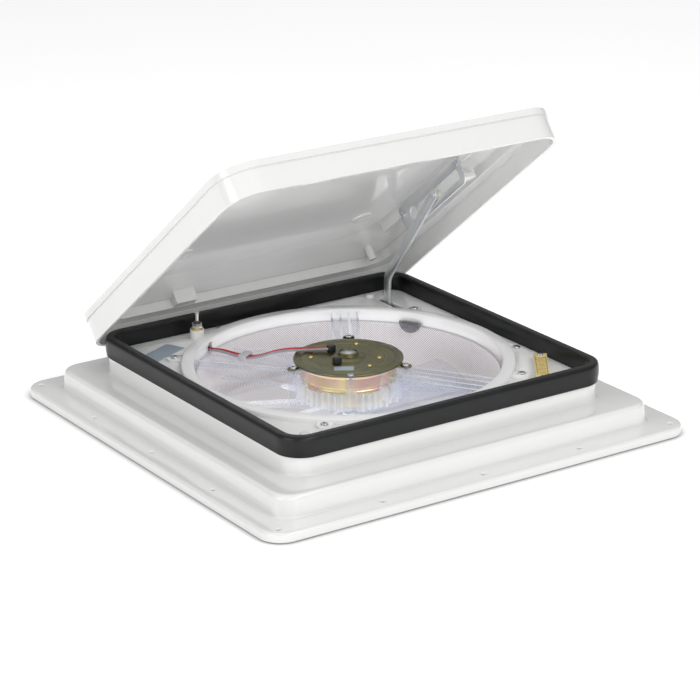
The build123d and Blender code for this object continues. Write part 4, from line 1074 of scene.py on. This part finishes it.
bladeShape = {
    "count": 10,
    "hubRadius": 0.024,
    "hubHalf": 0.008,
    "tip": 0.146,
    "height": 0.009,
    "hubChord": 0.020,
    "tipChord": 0.060,
    "hubPitch": 38.0,
    "tipPitch": 17.0,
    "camber": 0.0035,
    "thickness": 0.0016,
}


def makeBlades():
    s = bladeShape
    spans = 14
    chords = 8
    builder = bmesh.new()
    grid = []
    for span in range(spans + 1):
        share = span / spans
        r = s["hubRadius"] - 0.003 + (s["tip"] - s["hubRadius"] + 0.003) * share
        chord = s["hubChord"] + (s["tipChord"] - s["hubChord"]) * share**0.8
        pitch = math.radians(s["hubPitch"] + (s["tipPitch"] - s["hubPitch"]) * share)
        sweep = 0.012 * share * share
        row = []
        for step in range(chords + 1):
            v = step / chords - 0.5
            across = v * chord * math.cos(pitch) + sweep
            lift = v * chord * math.sin(pitch) + s["camber"] * (1 - 4 * v * v)
            reach = math.sqrt(max(r * r - across * across, 1e-8))
            row.append(builder.verts.new((reach, across, s["height"] + lift)))
        grid.append(row)
    for span in range(spans):
        for step in range(chords):
            builder.faces.new(
                (grid[span][step], grid[span + 1][step], grid[span + 1][step + 1], grid[span][step + 1])
            )
    bmesh.ops.recalc_face_normals(builder, faces=builder.faces)
    blade = asObject("blade_template", builder, finishes["clear_plastic"])
    solid = blade.modifiers.new("thickness", "SOLIDIFY")
    solid.thickness = s["thickness"]
    solid.offset = 0
    softEdges(blade, 0.0005, 2, 50)
    spots = []
    for index in range(s["count"]):
        spots.append(((0.0, 0.0, 0.0), (0.0, 0.0, 2 * math.pi * index / s["count"])))
    piece = placeCopies("fan_wheel", blade, spots, finishes["clear_plastic"], 1.0, 40)
    bpy.data.objects.remove(blade)
    register(piece, "fan", "clear_plastic", "fan_blades")
    low = s["height"] - s["hubHalf"]
    high = s["height"] + s["hubHalf"]
    profile = [
        (0.0041, low),
        (s["hubRadius"] - 0.002, low),
        (s["hubRadius"], low + 0.002),
        (s["hubRadius"], high - 0.003),
        (s["hubRadius"] - 0.003, high),
        (0.014, high),
        (0.013, high - 0.002),
        (0.0041, high - 0.002),
    ]
    hub = turned("fan_hub", profile, finishes["clear_plastic"], 64)
    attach(hub, "fan")


makeBlades()
print("blades made")

motorShape = {
    "plateRadius": 0.057,
    "plateLow": 0.0584,
    "plateTop": 0.0600,
    "raised": 0.0470,
    "earCircle": 0.064,
    "earAngles": (56.0, 175.0, -57.0),
    "canRadius": 0.0495,
    "canLow": 0.024,
}


def makeMotor():
    s = motorShape
    low = s["plateLow"]
    top = s["plateTop"]
    section = [
        (0.0091, low, 0.0),
        (s["plateRadius"], low, 0.0006),
        (s["plateRadius"], top + 0.0007, 0.0006),
        (s["plateRadius"] - 0.0022, top + 0.0007, 0.0006),
        (s["plateRadius"] - 0.0030, top - 0.0002, 0.0004),
        (0.0495, top - 0.0002, 0.0008),
        (0.0478, top + 0.0012, 0.0010),
        (0.0400, top + 0.0014, 0.0004),
        (0.0392, top + 0.0008, 0.0004),
        (0.0376, top + 0.0008, 0.0004),
        (0.0368, top + 0.0014, 0.0004),
        (0.0185, top + 0.0012, 0.0010),
        (0.0150, top + 0.0034, 0.0010),
        (0.0108, top + 0.0036, 0.0006),
        (0.0106, top + 0.0072, 0.0005),
        (0.0091, top + 0.0072, 0.0003),
    ]
    profile = roundedProfile(section, 3)
    plate = turned("end_plate", profile, finishes["yellow_zinc"], 120, None, 50)
    register(plate, "base", "yellow_zinc", "motor_plate")
    ears = bmesh.new()
    for angle in s["earAngles"]:
        x, y, z = polar(s["earCircle"], angle, 0)
        addRod(ears, (x, y), 0.0062, low, top, 40)
        x, y, z = polar(s["earCircle"] - 0.006, angle, (low + top) / 2)
        addBlock(ears, (x, y, z), (0.0125, 0.0124, top - low), math.radians(angle))
    earPiece = asObject("end_plate_ears", ears, finishes["yellow_zinc"])
    softEdges(earPiece, 0.0004)
    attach(earPiece, "base")
    radius = s["canRadius"]
    canSection = [
        (0.0091, s["canLow"], 0.0),
        (radius, s["canLow"], 0.0030),
        (radius, 0.0400, 0.0010),
        (radius - 0.0007, 0.0408, 0.0006),
        (radius - 0.0007, 0.0424, 0.0006),
        (radius, 0.0432, 0.0006),
        (radius, 0.0540, 0.0006),
        (radius + 0.0016, 0.0552, 0.0006),
        (radius + 0.0016, low - 0.0002, 0.0005),
        (radius - 0.0015, low - 0.0002, 0.0),
        (radius - 0.0015, s["canLow"] + 0.0015, 0.0020),
        (0.0091, s["canLow"] + 0.0015, 0.0),
    ]
    can = turned("motor_shell", roundedProfile(canSection, 4), finishes["can_zinc"], 120, None, 50)
    register(can, "base", "yellow_zinc", "motor_can")


makeMotor()
print("motor made")

leadShape = {
    "diameter": 0.0026,
    "red": [
        (-0.00995, 0.0260, 0.0648),
        (-0.0280, 0.0410, 0.0642),
        (-0.0460, 0.0600, 0.0610),
        (-0.0600, 0.0760, 0.0520),
        (-0.0704, 0.0860, 0.0506),
        (-0.0804, 0.1180, 0.0510),
        (-0.0842, 0.1345, 0.0479),
        (-0.0856, 0.1475, 0.0478),
        (-0.0865, 0.1526, 0.0300),
    ],
    "grey": [
        (-0.00995, 0.0224, 0.0648),
        (-0.0310, 0.0360, 0.0642),
        (-0.0500, 0.0560, 0.0610),
        (-0.0645, 0.0730, 0.0520),
        (-0.0756, 0.0820, 0.0506),
        (-0.0856, 0.1170, 0.0514),
        (-0.0888, 0.1326, 0.0479),
        (-0.0902, 0.1470, 0.0478),
        (-0.0906, 0.1526, 0.0300),
    ],
}


def makeLead(name, points, finish):
    data = bpy.data.curves.new(name, "CURVE")
    data.dimensions = "3D"
    data.resolution_u = 12
    data.bevel_depth = leadShape["diameter"] / 2
    data.bevel_resolution = 4
    data.use_fill_caps = True
    spline = data.splines.new("NURBS")
    spline.points.add(len(points) - 1)
    for index, point in enumerate(points):
        spline.points[index].co = (*point, 1)
    spline.order_u = 3
    spline.use_endpoint_u = True
    data.materials.append(finishes[finish])
    piece = bpy.data.objects.new(name, data)
    scene.collection.objects.link(piece)
    return piece


redLead = makeLead("lead_red", leadShape["red"], "red_insulation")
register(redLead, "base", "red_insulation", "wire_red")
greyLead = makeLead("lead_grey", leadShape["grey"], "grey_insulation")
register(greyLead, "base", "grey_insulation", "wire_grey")
print("leads made")

# CAD solids whose shape is right get eased edges; the sealed inner ones keep theirs.
easedWidths = {
    "deck_plate": 0.0006,
    "fan_ring": 0.0007,
    "motor_mount": 0.0006,
    "lift_arm": 0.0005,
    "slide_plate": 0.0005,
    "arm_pin": 0.0004,
    "pin_bushing": 0.0004,
    "hinge_pins": 0.0005,
    "screw_caps": 0.0004,
    "motor_terminals": 0.0009,
    "motor_rivets": 0.0004,
    "wire_clip": 0.0004,
    "drive_cover": 0.0007,
    "lid_switch": 0.0004,
    "switch_washer": 0.0003,
    "switch_nut": 0.0005,
    "switch_plunger": 0.0005,
    "sensor_holder": 0.0004,
    "rain_sensor": 0.0002,
    "inner_panel": 0.0007,
    "crank_knob": 0.0010,
    "speed_knob": 0.0007,
    "rocker_switch": 0.0005,
    "rocker_paddle": 0.0004,
    "fuse_holder": 0.0004,
    "fuse_cap": 0.0006,
    "hub_nut": 0.0005,
    "air_duct": 0.0005,
    "plate_screws": 0.0004,
    "drive_housing": 0.0006,
    "shaft_bearing": 0.0005,
}
for node, width in easedWidths.items():
    easedNode(node, width)
for name, finish in (
    ("deck_plate_eased", "deck_panel"),
    ("drive_cover_eased", "smoked_plastic"),
    ("motor_mount_eased", "mount_plastic"),
    ("fan_ring_eased", "ring_plastic"),
):
    piece = bpy.data.objects[name]
    piece.data.materials.clear()
    piece.data.materials.append(finishes[finish])
for node, piece in nodes.items():
    if not piece.hide_render:
        piece.data.materials.clear()
        piece.data.materials.append(finishes[slotOf(node)])
print("small parts eased,", len(easedWidths))

# A plain pale floor like a roof: the flange lies on it and the neck goes down through its opening. Near the
# object its colour and glow are darkened by ambient occlusion: a painted contact shadow.
studio = {
    "floorHeight": -0.0012,
    "floorHalf": 9.0,
    "openingHalf": 0.1795,
    "floorColour": (0.90, 0.90, 0.90),
    "floorGlow": 0.37,
    "zenith": 0.62,
    "horizon": 0.24,
    "below": 0.95,
    "topPower": 9.0,
    "leftPower": 14.0,
    "frontPower": 11.0,
    "fillPower": 17.0,
    "throatPower": 0.15,
}


def makeFloor():
    made = Finish("floorPaper")
    cloud = made.noise(3, 2)
    # Painted contact shadow: ambient occlusion darkens the floor's colour and glow next to the object.
    paintedShadowOpenness = made.add("ShaderNodeAmbientOcclusion", {"samples": 8}, {"Distance": 0.090}, 1).power(1.5)
    tone = made.mixColours(cloud, studio["floorColour"], (0.92, 0.92, 0.92))
    material = made.finish(
        made.surface(
            Base_Color=made.mixColours(paintedShadowOpenness, (0.34, 0.34, 0.34), tone),
            Roughness=0.9,
            Specular_IOR_Level=0.1,
            Emission_Color=made.mixColours(paintedShadowOpenness, (0.20, 0.20, 0.20), (1.0, 1.0, 1.0)),
            Emission_Strength=studio["floorGlow"],
        )
    )
    far = studio["floorHalf"]
    near = studio["openingHalf"]
    builder = bmesh.new()
    rings = []
    for half in (near, far):
        corners = ((-half, -half), (half, -half), (half, half), (-half, half))
        rings.append([builder.verts.new((x, y, studio["floorHeight"])) for x, y in corners])
    for side in range(4):
        after = (side + 1) % 4
        builder.faces.new((rings[0][side], rings[0][after], rings[1][after], rings[1][side]))
    bmesh.ops.recalc_face_normals(builder, faces=builder.faces)
    floor = asObject("floor", builder, material)


def addSoftbox(name, place, aim, power, width, height):
    data = bpy.data.lights.new(name, "AREA")
    data.shape = "RECTANGLE"
    data.size = width
    data.size_y = height
    data.energy = power
    light = bpy.data.objects.new(name, data)
    direction = Vector(aim) - Vector(place)
    light.rotation_euler = direction.to_track_quat("-Z", "Y").to_euler()
    light.location = place
    scene.collection.objects.link(light)
    return light


def makeStudio():
    makeFloor()
    world = bpy.data.worlds.new("studio")
    world.use_nodes = True
    tree = world.node_tree
    spot = tree.nodes.new("ShaderNodeTexCoord")
    parts = tree.nodes.new("ShaderNodeSeparateXYZ")
    tree.links.new(spot.outputs["Generated"], parts.inputs[0])
    height = tree.nodes.new("ShaderNodeMapRange")
    height.inputs["From Min"].default_value = -1
    tree.links.new(parts.outputs[2], height.inputs["Value"])
    strength = tree.nodes.new("ShaderNodeValToRGB")
    ramp = strength.color_ramp
    while len(ramp.elements) < 4:
        ramp.elements.new(0.5)
    levels = ((0.0, "below"), (0.495, "below"), (0.505, "horizon"), (1.0, "zenith"))
    for element, (place, level) in zip(ramp.elements, levels):
        element.position = place
        element.color = (studio[level], studio[level], studio[level], 1)
    tree.links.new(height.outputs[0], strength.inputs[0])
    background = tree.nodes["Background"]
    background.inputs["Color"].default_value = (1, 1, 1, 1)
    tree.links.new(strength.outputs[0], background.inputs["Strength"])
    scene.world = world
    addSoftbox("top_light", (0.1, 0.5, 2.2), (0, 0, 0.05), studio["topPower"], 2.0, 1.6)
    addSoftbox("left_light", (-2.3, -0.5, 0.85), (0, 0, 0.1), studio["leftPower"], 1.5, 1.1)
    addSoftbox("front_light", (-0.7, -2.4, 0.75), (0, 0.05, 0.10), studio["frontPower"], 1.8, 0.9)
    addSoftbox("fill_light", (0.4, -1.9, 1.7), (0, 0, 0.05), studio["fillPower"], 1.2, 1.0)
    # Light from the room below fills the duct.
    throat = addSoftbox("throat_light", (0, 0, -0.005), (0, 0, 1), studio["throatPower"], 0.22, 0.22)
    throat.visible_camera = False
    scene.cycles.transparent_max_bounces = 40
    scene.view_settings.view_transform = "Standard"
    scene.view_settings.look = "None"
    scene.view_settings.exposure = 0.0


makeStudio()
print("studio made")


def corners(bounds):
    return [[float(part) for part in corner] for corner in bounds]
